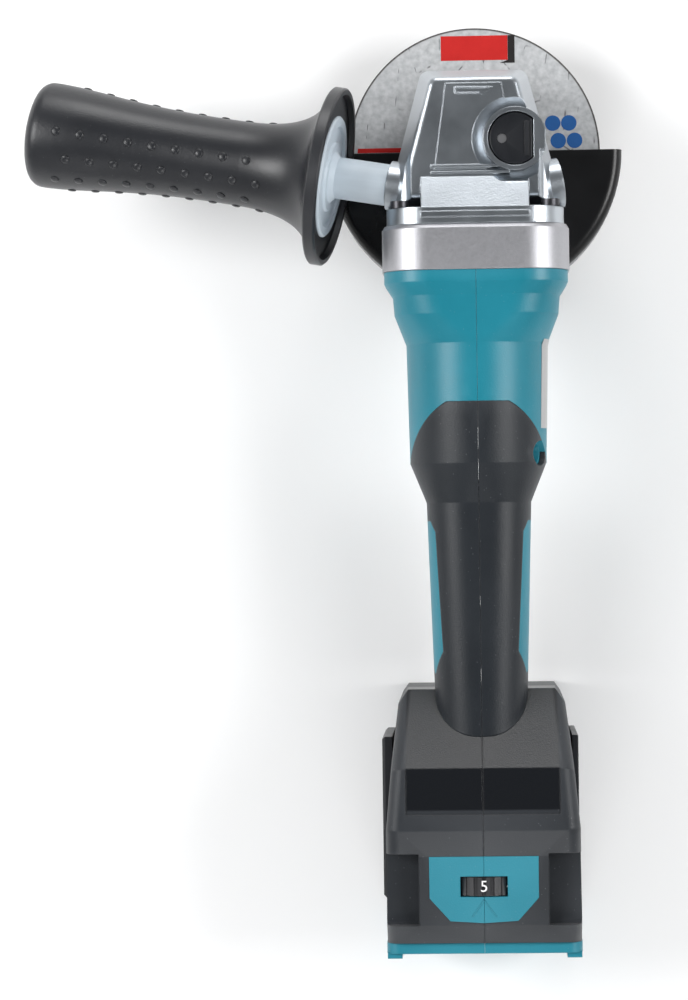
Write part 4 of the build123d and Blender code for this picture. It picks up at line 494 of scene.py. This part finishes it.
NODE_FINISHES: dict[str, Finish] = {
    "gear_housing": CAST_ALUMINIUM,
    "bearing_box": CAST_ALUMINIUM,
    "housing_ring": SATIN_SILVER,
    "gear_housing_screws": BLACK_STEEL,
    "bearing_box_screws": BLACK_STEEL,
    "housing_screws": BLACK_STEEL,
    "spindle_lock_button": BLACK_PLASTIC,
    "lock_pin": GEAR_STEEL,
    "lock_spring": SPRING_STEEL,
    "paddle_spring": SPRING_STEEL,
    "spindle": GROUND_STEEL,
    "inner_flange": ZINC_STEEL,
    "lock_nut": ZINC_STEEL,
    "dust_ring": BLACK_STEEL,
    "spindle_bearing_lower": GROUND_STEEL,
    "spindle_bearing_upper": GROUND_STEEL,
    "rotor_bearing_front": GROUND_STEEL,
    "rotor_bearing_rear": GROUND_STEEL,
    "bevel_gear": GEAR_STEEL,
    "pinion": GEAR_STEEL,
    "wheel_guard": BLACK_SHEET,
    "guard_band": BLACK_SHEET,
    "guard_clamp_screw": ZINC_STEEL,
    "housing_left": TEAL,
    "housing_right": TEAL,
    "grip_rubber_left": GRIP_RUBBER,
    "grip_rubber_right": GRIP_RUBBER,
    "base_cover_left": COVER_RUBBER,
    "base_cover_right": COVER_RUBBER,
    "dust_cover_left": BLACK_PLASTIC,
    "dust_cover_right": BLACK_PLASTIC,
    "speed_dial": DIAL_PLASTIC,
    "dial_sensor": BOARD,
    "sensor_board": BOARD,
    "paddle_lever": BLACK_PLASTIC,
    "paddle_pin": GROUND_STEEL,
    "lock_off_pin": GROUND_STEEL,
    "lock_off_lever": TEAL,
    "trigger_switch": BLACK_PLASTIC,
    "switch_plunger": DIAL_PLASTIC,
    "controller": HEAT_SINK,
    "terminal_block": DIAL_PLASTIC,
    "terminals": BRASS,
    "rotor_shaft": GROUND_STEEL,
    "rotor_core": LAMINATION,
    "stator": LAMINATION,
    "stator_coils": COPPER,
    "cooling_fan": BLACK_PLASTIC,
    "handle_core": GREY_PLASTIC,
    "handle_stud": ZINC_STEEL,
    "handle_grip": HANDLE_BLACK,
}


class MaterialShelf:
    """Makes each finish's material once and hands it out."""

    def __init__(self) -> None:
        """Start with nothing made."""
        self._made: dict[str, bpy.types.Material] = {}

    def get(self, finish: Finish) -> bpy.types.Material:
        """Hand out the material of a finish.

        Args:
            finish: The finish.

        Returns:
            Its material, made the first time that it is asked for.
        """
        if finish.name not in self._made:
            self._made[finish.name] = finish.build()
        return self._made[finish.name]


SHELF = MaterialShelf()


@dataclass(frozen=True)
class WheelPaper:
    """Worn paper face of the grinding wheel, with abrasive showing at its edges.

    The radius, the rim's two insets and the two depths below the paper are in millimetres.
    """

    radius: float = 50.0
    rim: Span = (0.9, 0.4)
    paper_depth: Span = (-0.6, -1.2)
    fibre_scale: float = 420.0
    fibre_detail: float = 8.0
    fibre_stops: Span = (0.3, 0.68)
    paper_dark: Colour = (0.35, 0.36, 0.37)
    paper_light: Colour = (0.5, 0.51, 0.52)
    scratch_scale: float = 90.0
    scratch_stretch: Colour = (1.0, 0.42, 1.0)
    scratch_turn: float = 0.5
    scratch_width: Span = (0.02, 0.006)
    scratch_colour: Colour = (0.12, 0.12, 0.125)
    scratched_scale: float = 150.0
    scratched_span: Span = (0.52, 0.6)
    grit_colour: Colour = (0.045, 0.04, 0.038)
    roughness: Span = (0.6, 0.85)
    bump: float = 0.35
    bump_depth: float = 0.4 * MM

    def _scratches(self, graph: Graph) -> bpy.types.NodeSocket:
        """Mask thin scratches that show in places.

        Args:
            graph: The material's nodes.

        Returns:
            The mask.
        """
        marks = graph.nodes.new("ShaderNodeTexVoronoi")
        marks.feature = "DISTANCE_TO_EDGE"
        marks.inputs["Scale"].default_value = self.scratch_scale
        stretch = graph.nodes.new("ShaderNodeMapping")
        stretch.inputs["Scale"].default_value = self.scratch_stretch
        stretch.inputs["Rotation"].default_value = (0.0, 0.0, self.scratch_turn)
        graph.links.new(graph.place, stretch.inputs["Vector"])
        graph.links.new(stretch.outputs["Vector"], marks.inputs["Vector"])
        thin = graph.remap(marks.outputs["Distance"], self.scratch_width)
        some = graph.remap(graph.noise(self.scratched_scale), self.scratched_span)
        return graph.math("MULTIPLY", thin, some)

    def _bare(self, graph: Graph) -> bpy.types.NodeSocket:
        """Mask the rim and all that lies below the paper.

        Args:
            graph: The material's nodes.

        Returns:
            The mask.
        """
        axes = graph.split(graph.place)
        flat = graph.nodes.new("ShaderNodeCombineXYZ")
        graph.links.new(axes["X"], flat.inputs["X"])
        graph.links.new(axes["Y"], flat.inputs["Y"])
        reach = graph.vector("LENGTH", flat.outputs["Vector"]).outputs["Value"]
        rim = graph.remap(reach, tuple((self.radius - inset) * MM for inset in self.rim))
        under = graph.remap(axes["Z"], tuple(depth * MM for depth in self.paper_depth))
        return graph.math("MAXIMUM", rim, under)

    def build(self) -> bpy.types.Material:
        """Make the wheel's material.

        Returns:
            A material on object coordinates, whose origin is the spindle axis.
        """
        graph = Graph("wheel_paper")
        fibre = graph.noise(self.fibre_scale, self.fibre_detail)
        shade = graph.ramp(fibre, self.fibre_stops, self.paper_dark, self.paper_light)
        shade = graph.cover(self._scratches(graph), shade, self.scratch_colour)
        shade = graph.cover(self._bare(graph), shade, self.grit_colour)
        rough = graph.remap(fibre, (0.0, 1.0), self.roughness)
        return graph.finish(shade, rough, fibre, self.bump, self.bump_depth)


def dress(
    obj: bpy.types.Object, material: bpy.types.Material, smooth_deg: float = 0.0
) -> None:
    """Give an object one material and, if asked, smooth shading below an angle.

    Args:
        obj: The object to dress.
        material: Its only material.
        smooth_deg: Largest angle between faces that shades smoothly, or 0 to leave it.
    """
    obj.data.materials.clear()
    obj.data.materials.append(material)
    if smooth_deg > 0:
        Builder.take(obj)
        bpy.ops.object.shade_smooth_by_angle(angle=math.radians(smooth_deg))


class Builder:
    """Common steps for pieces modelled with bpy.ops."""

    @staticmethod
    def start() -> None:
        """Leave nothing selected before a piece is added."""
        if bpy.context.object and bpy.context.object.mode != "OBJECT":
            bpy.ops.object.mode_set(mode="OBJECT")
        bpy.ops.object.select_all(action="DESELECT")

    @staticmethod
    def take(obj: bpy.types.Object) -> None:
        """Select one object alone and make it active.

        Args:
            obj: The object.
        """
        Builder.start()
        obj.select_set(True)
        bpy.context.view_layer.objects.active = obj

    @staticmethod
    def settle(obj: bpy.types.Object, name: str) -> bpy.types.Object:
        """Name a piece and leave its place in its mesh.

        Args:
            obj: The piece.
            name: Its name.

        Returns:
            The same piece.
        """
        Builder.take(obj)
        bpy.ops.object.transform_apply(location=True, rotation=True, scale=True)
        obj.name = name
        obj.data.name = name
        return obj

    @staticmethod
    def join(parts: list[bpy.types.Object], name: str) -> bpy.types.Object:
        """Join parts into one piece.

        Args:
            parts: Mesh objects.
            name: Name of the joined piece.

        Returns:
            The joined piece.
        """
        Builder.start()
        for part in parts:
            part.select_set(True)
        bpy.context.view_layer.objects.active = parts[0]
        if len(parts) > 1:
            bpy.ops.object.join()
        return Builder.settle(bpy.context.view_layer.objects.active, name)

    @staticmethod
    def from_shape(shape: bmesh.types.BMesh, name: str) -> bpy.types.Object:
        """Turn a loose shape into a selected, active object.

        Args:
            shape: The shape, which is used up.
            name: Name of the object.

        Returns:
            The new object.
        """
        mesh = bpy.data.meshes.new(name)
        bmesh.ops.recalc_face_normals(shape, faces=shape.faces)
        shape.to_mesh(mesh)
        shape.free()
        obj = bpy.data.objects.new(name, mesh)
        bpy.context.collection.objects.link(obj)
        Builder.take(obj)
        return obj

    @staticmethod
    def face_outwards() -> None:
        """Turn every face of the active object outwards, and leave edit mode."""
        bpy.ops.object.mode_set(mode="EDIT")
        bpy.ops.mesh.select_all(action="SELECT")
        bpy.ops.mesh.normals_make_consistent(inside=False)
        bpy.ops.object.mode_set(mode="OBJECT")


@dataclass(frozen=True)
class WheelPrint:
    """Plain blocks of colour printed on the wheel's paper face, in millimetres."""

    body: str = "spindle_group"
    lift: float = 0.06
    gap: float = 0.018
    red_block: Outline = ((-12.8, 37.2), (13.8, 37.2), (13.8, 47.0), (-12.8, 47.0))
    black_edge: Outline = (
        (13.9, 47.0), (13.9, 37.2), (10.6, 36.0), (16.6, 36.0), (16.6, 47.0),
    )
    red_band: Outline = ((-46.6, 1.0), (-24.0, 1.0), (-24.0, 2.8), (-46.4, 2.8))
    disc_radius: float = 3.1
    disc_sides: int = 32
    disc_places: Outline = ((31.4, 11.6), (37.8, 11.6), (33.5, 4.6), (40.0, 4.6))

    def _patch(self, corners: Outline, name: str) -> bpy.types.Object:
        """Print one flat shape.

        Args:
            corners: Outline in the wheel's plane.
            name: Name of the piece.

        Returns:
            The thin printed piece.
        """
        shape = bmesh.new()
        height = self.gap * MM
        shape.faces.new([shape.verts.new((x * MM, y * MM, height)) for x, y in corners])
        obj = Builder.from_shape(shape, name)
        bpy.ops.object.mode_set(mode="EDIT")
        bpy.ops.mesh.select_all(action="SELECT")
        bpy.ops.mesh.extrude_region_move(
            TRANSFORM_OT_translate={"value": (0.0, 0.0, self.lift * MM)}
        )
        Builder.face_outwards()
        return obj

    def _disc(self, middle: Span) -> Outline:
        """Outline one plain disc.

        Args:
            middle: Its middle.

        Returns:
            The corners round it.
        """
        turns = [math.tau * side / self.disc_sides for side in range(self.disc_sides)]
        return tuple(
            (
                middle[0] + self.disc_radius * math.cos(turn),
                middle[1] + self.disc_radius * math.sin(turn),
            )
            for turn in turns
        )

    def build(self) -> list[bpy.types.Object]:
        """Make every printed shape and let it turn with the wheel.

        Returns:
            The printed pieces.
        """
        pieces = []
        for name, outline, ink in (
            ("wheel_print_red", self.red_block, RED_INK),
            ("wheel_print_black", self.black_edge, BLACK_INK),
            ("wheel_print_band", self.red_band, RED_INK),
        ):
            piece = self._patch(outline, name)
            dress(piece, SHELF.get(ink))
            pieces.append(piece)
        name = "wheel_print_dots"
        dots = Builder.join([self._patch(self._disc(at), name) for at in self.disc_places], name)
        dress(dots, SHELF.get(BLUE_INK))
        pieces.append(dots)
        for piece in pieces:
            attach(piece, self.body)
        return pieces


@dataclass(frozen=True)
class DialNumbers:
    """White numbers round the thumb wheel, the highest one showing, in millimetres."""

    axis_y: float = -283.6
    axis_z: float = 59.6
    radius: float = 15.0
    lift: float = 0.12
    size: float = 6.0
    depth: float = 0.04
    step_deg: float = 40.0
    count: int = 5

    def _number(self, number: int) -> bpy.types.Object:
        """Make one number at its place on the thumb wheel.

        Args:
            number: What it says.

        Returns:
            The number as a mesh.
        """
        Builder.start()
        bpy.ops.object.text_add(location=(0.0, 0.0, 0.0))
        text = bpy.context.object
        text.data.body = str(number)
        text.data.align_x = "CENTER"
        text.data.align_y = "CENTER"
        text.data.size = self.size * MM
        text.data.extrude = self.depth * MM
        bpy.ops.object.convert(target="MESH")
        glyph = bpy.context.object
        turn = math.radians((self.count - number) * self.step_deg)
        glyph.data.transform(
            Matrix.Translation((0.0, self.axis_y * MM, self.axis_z * MM))
            @ Matrix.Rotation(turn, 4, "Y")
            @ Matrix.Translation(UP * (self.radius + self.lift) * MM)
        )
        glyph.data.update()
        return glyph

    def build(self) -> bpy.types.Object:
        """Make the ring of numbers.

        Returns:
            The joined numbers.
        """
        parts = [self._number(number) for number in range(1, self.count + 1)]
        numbers = Builder.join(parts, "dial_numbers")
        dress(numbers, SHELF.get(WHITE_INK))
        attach(numbers, "dial_group")
        return numbers


@dataclass(frozen=True)
class GripBumps:
    """Small round bumps in staggered rows round the side handle's grip, in millimetres."""

    sweep_deg: float = 10.1
    drop_deg: float = 7.5
    face: tuple[float, float, float] = (-32.7, -16.7, 47.5)
    first: float = 49.0
    pitch: float = 9.4
    per_row: int = 9
    rows: int = 12
    radius: float = 1.75
    height: float = 0.6
    skirt: float = 0.1
    segments: int = 14
    rings: int = 8
    smooth_deg: float = 60.0
    reach: float = 60.0
    bare_rows: tuple[int, ...] = (4, 5)

    def _axis(self) -> tuple[Vector, Vector]:
        """Work out the line that the handle lies on.

        Returns:
            Its origin, in metres, and its direction.
        """
        sweep, drop = math.radians(self.sweep_deg), math.radians(self.drop_deg)
        level = math.cos(drop)
        along = Vector((-math.cos(sweep) * level, math.sin(sweep) * level, -math.sin(drop)))
        return Vector(self.face) * MM, along

    def _seed(self) -> bpy.types.Object:
        """Model the one flattened half ball that every bump is a copy of.

        Returns:
            The half ball, round side up.
        """
        Builder.start()
        bpy.ops.mesh.primitive_uv_sphere_add(
            segments=self.segments, ring_count=self.rings, radius=self.radius * MM
        )
        seed = bpy.context.object
        bpy.ops.object.mode_set(mode="EDIT")
        bpy.ops.mesh.select_all(action="SELECT")
        bpy.ops.mesh.bisect(
            plane_co=(0.0, 0.0, -self.skirt * MM), plane_no=UP, clear_inner=True, use_fill=True
        )
        bpy.ops.object.mode_set(mode="OBJECT")
        seed.data.transform(Matrix.Diagonal((1.0, 1.0, self.height / self.radius, 1.0)))
        return seed

    def build(self, grip: bpy.types.Object) -> bpy.types.Object:
        """Stand the bumps on the grip's surface.

        Args:
            grip: The grip whose surface carries them.

        Returns:
            All the bumps as one piece.
        """
        seed = self._seed()
        origin, along = self._axis()
        side = UP.cross(along).normalized()
        lift = along.cross(side)
        parts = []
        for row in sorted(set(range(self.rows)) - set(self.bare_rows)):
            angle = math.tau * row / self.rows
            out = side * math.cos(angle) + lift * math.sin(angle)
            stagger = (row % 2) / 2
            for place in range(self.per_row):
                distance = (self.first + (place + stagger) * self.pitch) * MM
                start = origin + along * distance + out * self.reach * MM
                hit, point, normal, _ = grip.ray_cast(start, -out)
                if not hit:
                    continue
                copy = seed.copy()
                copy.data = seed.data.copy()
                bpy.context.collection.objects.link(copy)
                turn = normal.to_track_quat("Z", "X").to_matrix().to_4x4()
                copy.data.transform(Matrix.Translation(point) @ turn)
                parts.append(copy)
        bpy.data.objects.remove(seed)
        bumps = Builder.join(parts, "handle_bumps")
        dress(bumps, SHELF.get(HANDLE_BLACK), self.smooth_deg)
        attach(bumps, "handle_group")
        return bumps


@dataclass(frozen=True)
class SurfaceRelief:
    """Thin raised shapes that follow the surface they stand on, sized in millimetres."""

    thickness: float = 0.25
    lift: float = 0.03
    reach: float = 120.0

    def _nearest(
        self, targets: list[bpy.types.Object], spot: Vector, inward: Vector
    ) -> Vector:
        """Find where a ray first meets one of the targets.

        Args:
            targets: Objects that may be met.
            spot: Start of the ray, in metres.
            inward: Its direction.

        Returns:
            The nearest point that is met, or the start where nothing is.
        """
        met = []
        for target in targets:
            hit, point, _, _ = target.ray_cast(spot, inward, distance=self.reach * MM)
            if hit:
                met.append(point)
        return min(met, key=lambda point: (point - spot).length, default=spot)

    def drape(
        self,
        name: str,
        targets: list[bpy.types.Object],
        origin: Vector,
        across: Vector,
        along: Vector,
        size: Span,
        steps: tuple[int, int],
    ) -> bpy.types.Object:
        """Lay a rectangular patch on a surface and give it thickness.

        Args:
            name: Name of the piece.
            targets: Objects it may lie on; the nearest one carries it.
            origin: Middle of the patch, off the surface, in metres.
            across: Direction of its width.
            along: Direction of its length.
            size: Width and length in metres.
            steps: Divisions in each direction.

        Returns:
            The patch, standing slightly proud.
        """
        inward = across.cross(along).normalized() * -1.0
        shape = bmesh.new()
        grid = []
        for row in range(steps[1] + 1):
            line = []
            for column in range(steps[0] + 1):
                right = across * size[0] * (column / steps[0] - 0.5)
                spot = origin + right + along * size[1] * (row / steps[1] - 0.5)
                point = self._nearest(targets, spot, inward)
                line.append(shape.verts.new(point - inward * self.lift * MM))
            grid.append(line)
        for lower, upper in zip(grid, grid[1:]):
            for k in range(steps[0]):
                shape.faces.new((lower[k], lower[k + 1], upper[k + 1], upper[k]))
        obj = Builder.from_shape(shape, name)
        solid = obj.modifiers.new("thickness", "SOLIDIFY")
        solid.thickness = self.thickness * MM
        solid.offset = 0.0
        bpy.ops.object.modifier_apply(modifier=solid.name)
        Builder.face_outwards()
        return obj


@dataclass(frozen=True)
class HousingMarks:
    """Pointer by the thumb wheel and plain strip on the barrel, in millimetres."""

    body: str = "tool_body"
    pointer_tip: tuple[float, float, float] = (0.0, -288.8, 0.0)
    pointer_feet: tuple[tuple[float, float, float], ...] = (
        (-4.6, -295.2, 0.0), (4.6, -295.2, 0.0),
    )
    pointer_start: float = 100.0
    pointer_steps: tuple[int, int] = (12, 1)
    line_width: float = 0.55
    strip_middle: tuple[float, float, float] = (60.0, -94.0, 52.0)
    strip_size: Span = (11.0, 34.0)
    strip_steps: tuple[int, int] = (14, 14)
    strip_smooth_deg: float = 40.0

    def build(self, nodes: dict[str, bpy.types.Object]) -> list[bpy.types.Object]:
        """Build both marks on the housing halves.

        Args:
            nodes: CAD objects by node name.

        Returns:
            The finished pieces.
        """
        relief = SurfaceRelief()
        halves = [nodes["housing_left"], nodes["housing_right"]]
        bars = []
        start = Vector(self.pointer_tip) * MM
        for foot in self.pointer_feet:
            end = Vector(foot) * MM
            along = (end - start).normalized()
            bars.append(
                relief.drape(
                    "dial_pointer",
                    halves,
                    (start + end) / 2 + UP * self.pointer_start * MM,
                    -along,
                    along.cross(UP),
                    ((end - start).length, self.line_width * MM),
                    self.pointer_steps,
                )
            )
        pointer = Builder.join(bars, "dial_pointer")
        dress(pointer, SHELF.get(TEAL))
        strip = relief.drape(
            "barrel_strip",
            [nodes["housing_right"]],
            Vector(self.strip_middle) * MM,
            UP,
            Vector((0.0, -1.0, 0.0)),
            (self.strip_size[0] * MM, self.strip_size[1] * MM),
            self.strip_steps,
        )
        dress(strip, SHELF.get(STICKER), self.strip_smooth_deg)
        for piece in (pointer, strip):
            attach(piece, self.body)
        return [pointer, strip]


@dataclass(frozen=True)
class Lamp:
    """One soft square light, in metres and watts."""

    name: str
    place: tuple[float, float, float]
    size: float
    power: float

    def hang(self, aim: Vector) -> None:
        """Hang the light so that it faces a point.

        Args:
            aim: The point it faces.
        """
        data = bpy.data.lights.new(self.name, "AREA")
        data.size = self.size
        data.energy = self.power
        lamp = bpy.data.objects.new(self.name, data)
        lamp.location = self.place
        lamp.rotation_euler = (Vector(self.place) - aim).to_track_quat("Z", "Y").to_euler()
        bpy.context.collection.objects.link(lamp)


@dataclass(frozen=True)
class Studio:
    """Pale floor, soft lights and the camera above the tool, in metres."""

    floor_z: float = -0.033
    floor_size: float = 6.0
    floor_colour: Colour = (0.92, 0.92, 0.92)
    floor_roughness: float = 0.9
    lamps: tuple[Lamp, ...] = (
        Lamp("key_left", (-1.0, 0.1, 1.0), 0.6, 14.0),
        Lamp("key_right", (1.0, 0.0, 1.0), 0.6, 12.0),
        Lamp("top_front", (0.0, 1.5, 0.55), 0.7, 10.0),
        Lamp("top_rear", (0.0, -1.2, 0.8), 0.7, 6.0),
    )
    aim: tuple[float, float, float] = (0.0, -0.14, 0.03)
    sky_strength: float = 0.6
    sky_stops: Span = (0.1, 0.95)
    sky_colours: tuple[Colour, Colour] = ((1.0, 1.0, 1.0), (0.2, 0.21, 0.22))
    camera_place: tuple[float, float, float] = (0.0, -0.13743, 1.3)
    camera_lean: float = -0.0414275
    camera_roll_deg: float = 0.77
    lens: float = 117.23
    sensor_width: float = 36.0
    clip: Span = (0.05, 10.0)

    def _floor(self) -> None:
        """Add the pale floor."""
        Builder.start()
        bpy.ops.mesh.primitive_plane_add(
            size=self.floor_size, location=(0.0, 0.0, self.floor_z)
        )
        floor = bpy.context.object
        floor.name = "studio_floor"
        material = bpy.data.materials.new("studio_paper")
        material.use_nodes = True
        shader = material.node_tree.nodes["Principled BSDF"]
        shader.inputs["Base Color"].default_value = (*self.floor_colour, 1.0)
        shader.inputs["Roughness"].default_value = self.floor_roughness
        dress(floor, material)

    def _sky(self) -> None:
        """Surround the tool with a sky that is pale low down and grey overhead."""
        world = bpy.data.worlds.new("studio_world")
        world.use_nodes = True
        nodes, links = world.node_tree.nodes, world.node_tree.links
        direction = nodes.new("ShaderNodeTexCoord")
        split = nodes.new("ShaderNodeSeparateXYZ")
        links.new(direction.outputs["Generated"], split.inputs["Vector"])
        sky = nodes.new("ShaderNodeValToRGB")
        elements = sky.color_ramp.elements
        for element, stop, colour in zip(elements, self.sky_stops, self.sky_colours):
            element.position = stop
            element.color = (*colour, 1.0)
        links.new(split.outputs["Z"], sky.inputs["Fac"])
        links.new(sky.outputs["Color"], nodes["Background"].inputs["Color"])
        nodes["Background"].inputs["Strength"].default_value = self.sky_strength
        bpy.context.scene.world = world
        bpy.context.scene.view_settings.view_transform = "Standard"

    def _camera(self) -> None:
        """Set the camera that looks almost straight down on the tool."""
        data = bpy.data.cameras.new("studio_camera")
        data.lens = self.lens
        data.sensor_width = self.sensor_width
        data.sensor_fit = "AUTO"
        data.clip_start, data.clip_end = self.clip
        camera = bpy.data.objects.new("studio_camera", data)
        roll = math.radians(self.camera_roll_deg)
        forward = Vector((self.camera_lean, 0.0, -1.0)).normalized()
        right = forward.cross(Vector((math.sin(roll), math.cos(roll), 0.0))).normalized()
        up = right.cross(forward)
        turn = Matrix((right, up, -forward)).transposed().to_4x4()
        camera.matrix_world = Matrix.Translation(self.camera_place) @ turn
        bpy.context.collection.objects.link(camera)
        bpy.context.scene.camera = camera

    def build(self) -> None:
        """Set up the whole studio."""
        self._floor()
        for lamp in self.lamps:
            lamp.hang(Vector(self.aim))
        self._sky()
        self._camera()


def dress_frame(nodes: dict[str, bpy.types.Object]) -> None:
    """Give every carried-over CAD node its finish.

    Args:
        nodes: CAD objects by node name.
    """
    for name, obj in nodes.items():
        if name == "grinding_wheel":
            dress(obj, WheelPaper().build())
        else:
            dress(obj, SHELF.get(NODE_FINISHES[name]))
        LOG.info("dressed %s", name)


def main() -> None:
    """Build the looks in order."""
    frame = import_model()
    dress_frame(frame["nodes"])
    for piece in WheelPrint().build():
        LOG.info("built %s", piece.name)
    LOG.info("built %s", DialNumbers().build().name)
    for piece in HousingMarks().build(frame["nodes"]):
        LOG.info("built %s", piece.name)
    LOG.info("built %s", GripBumps().build(frame["nodes"]["handle_grip"]).name)
    Studio().build()


if __name__ == "__main__":
    main()
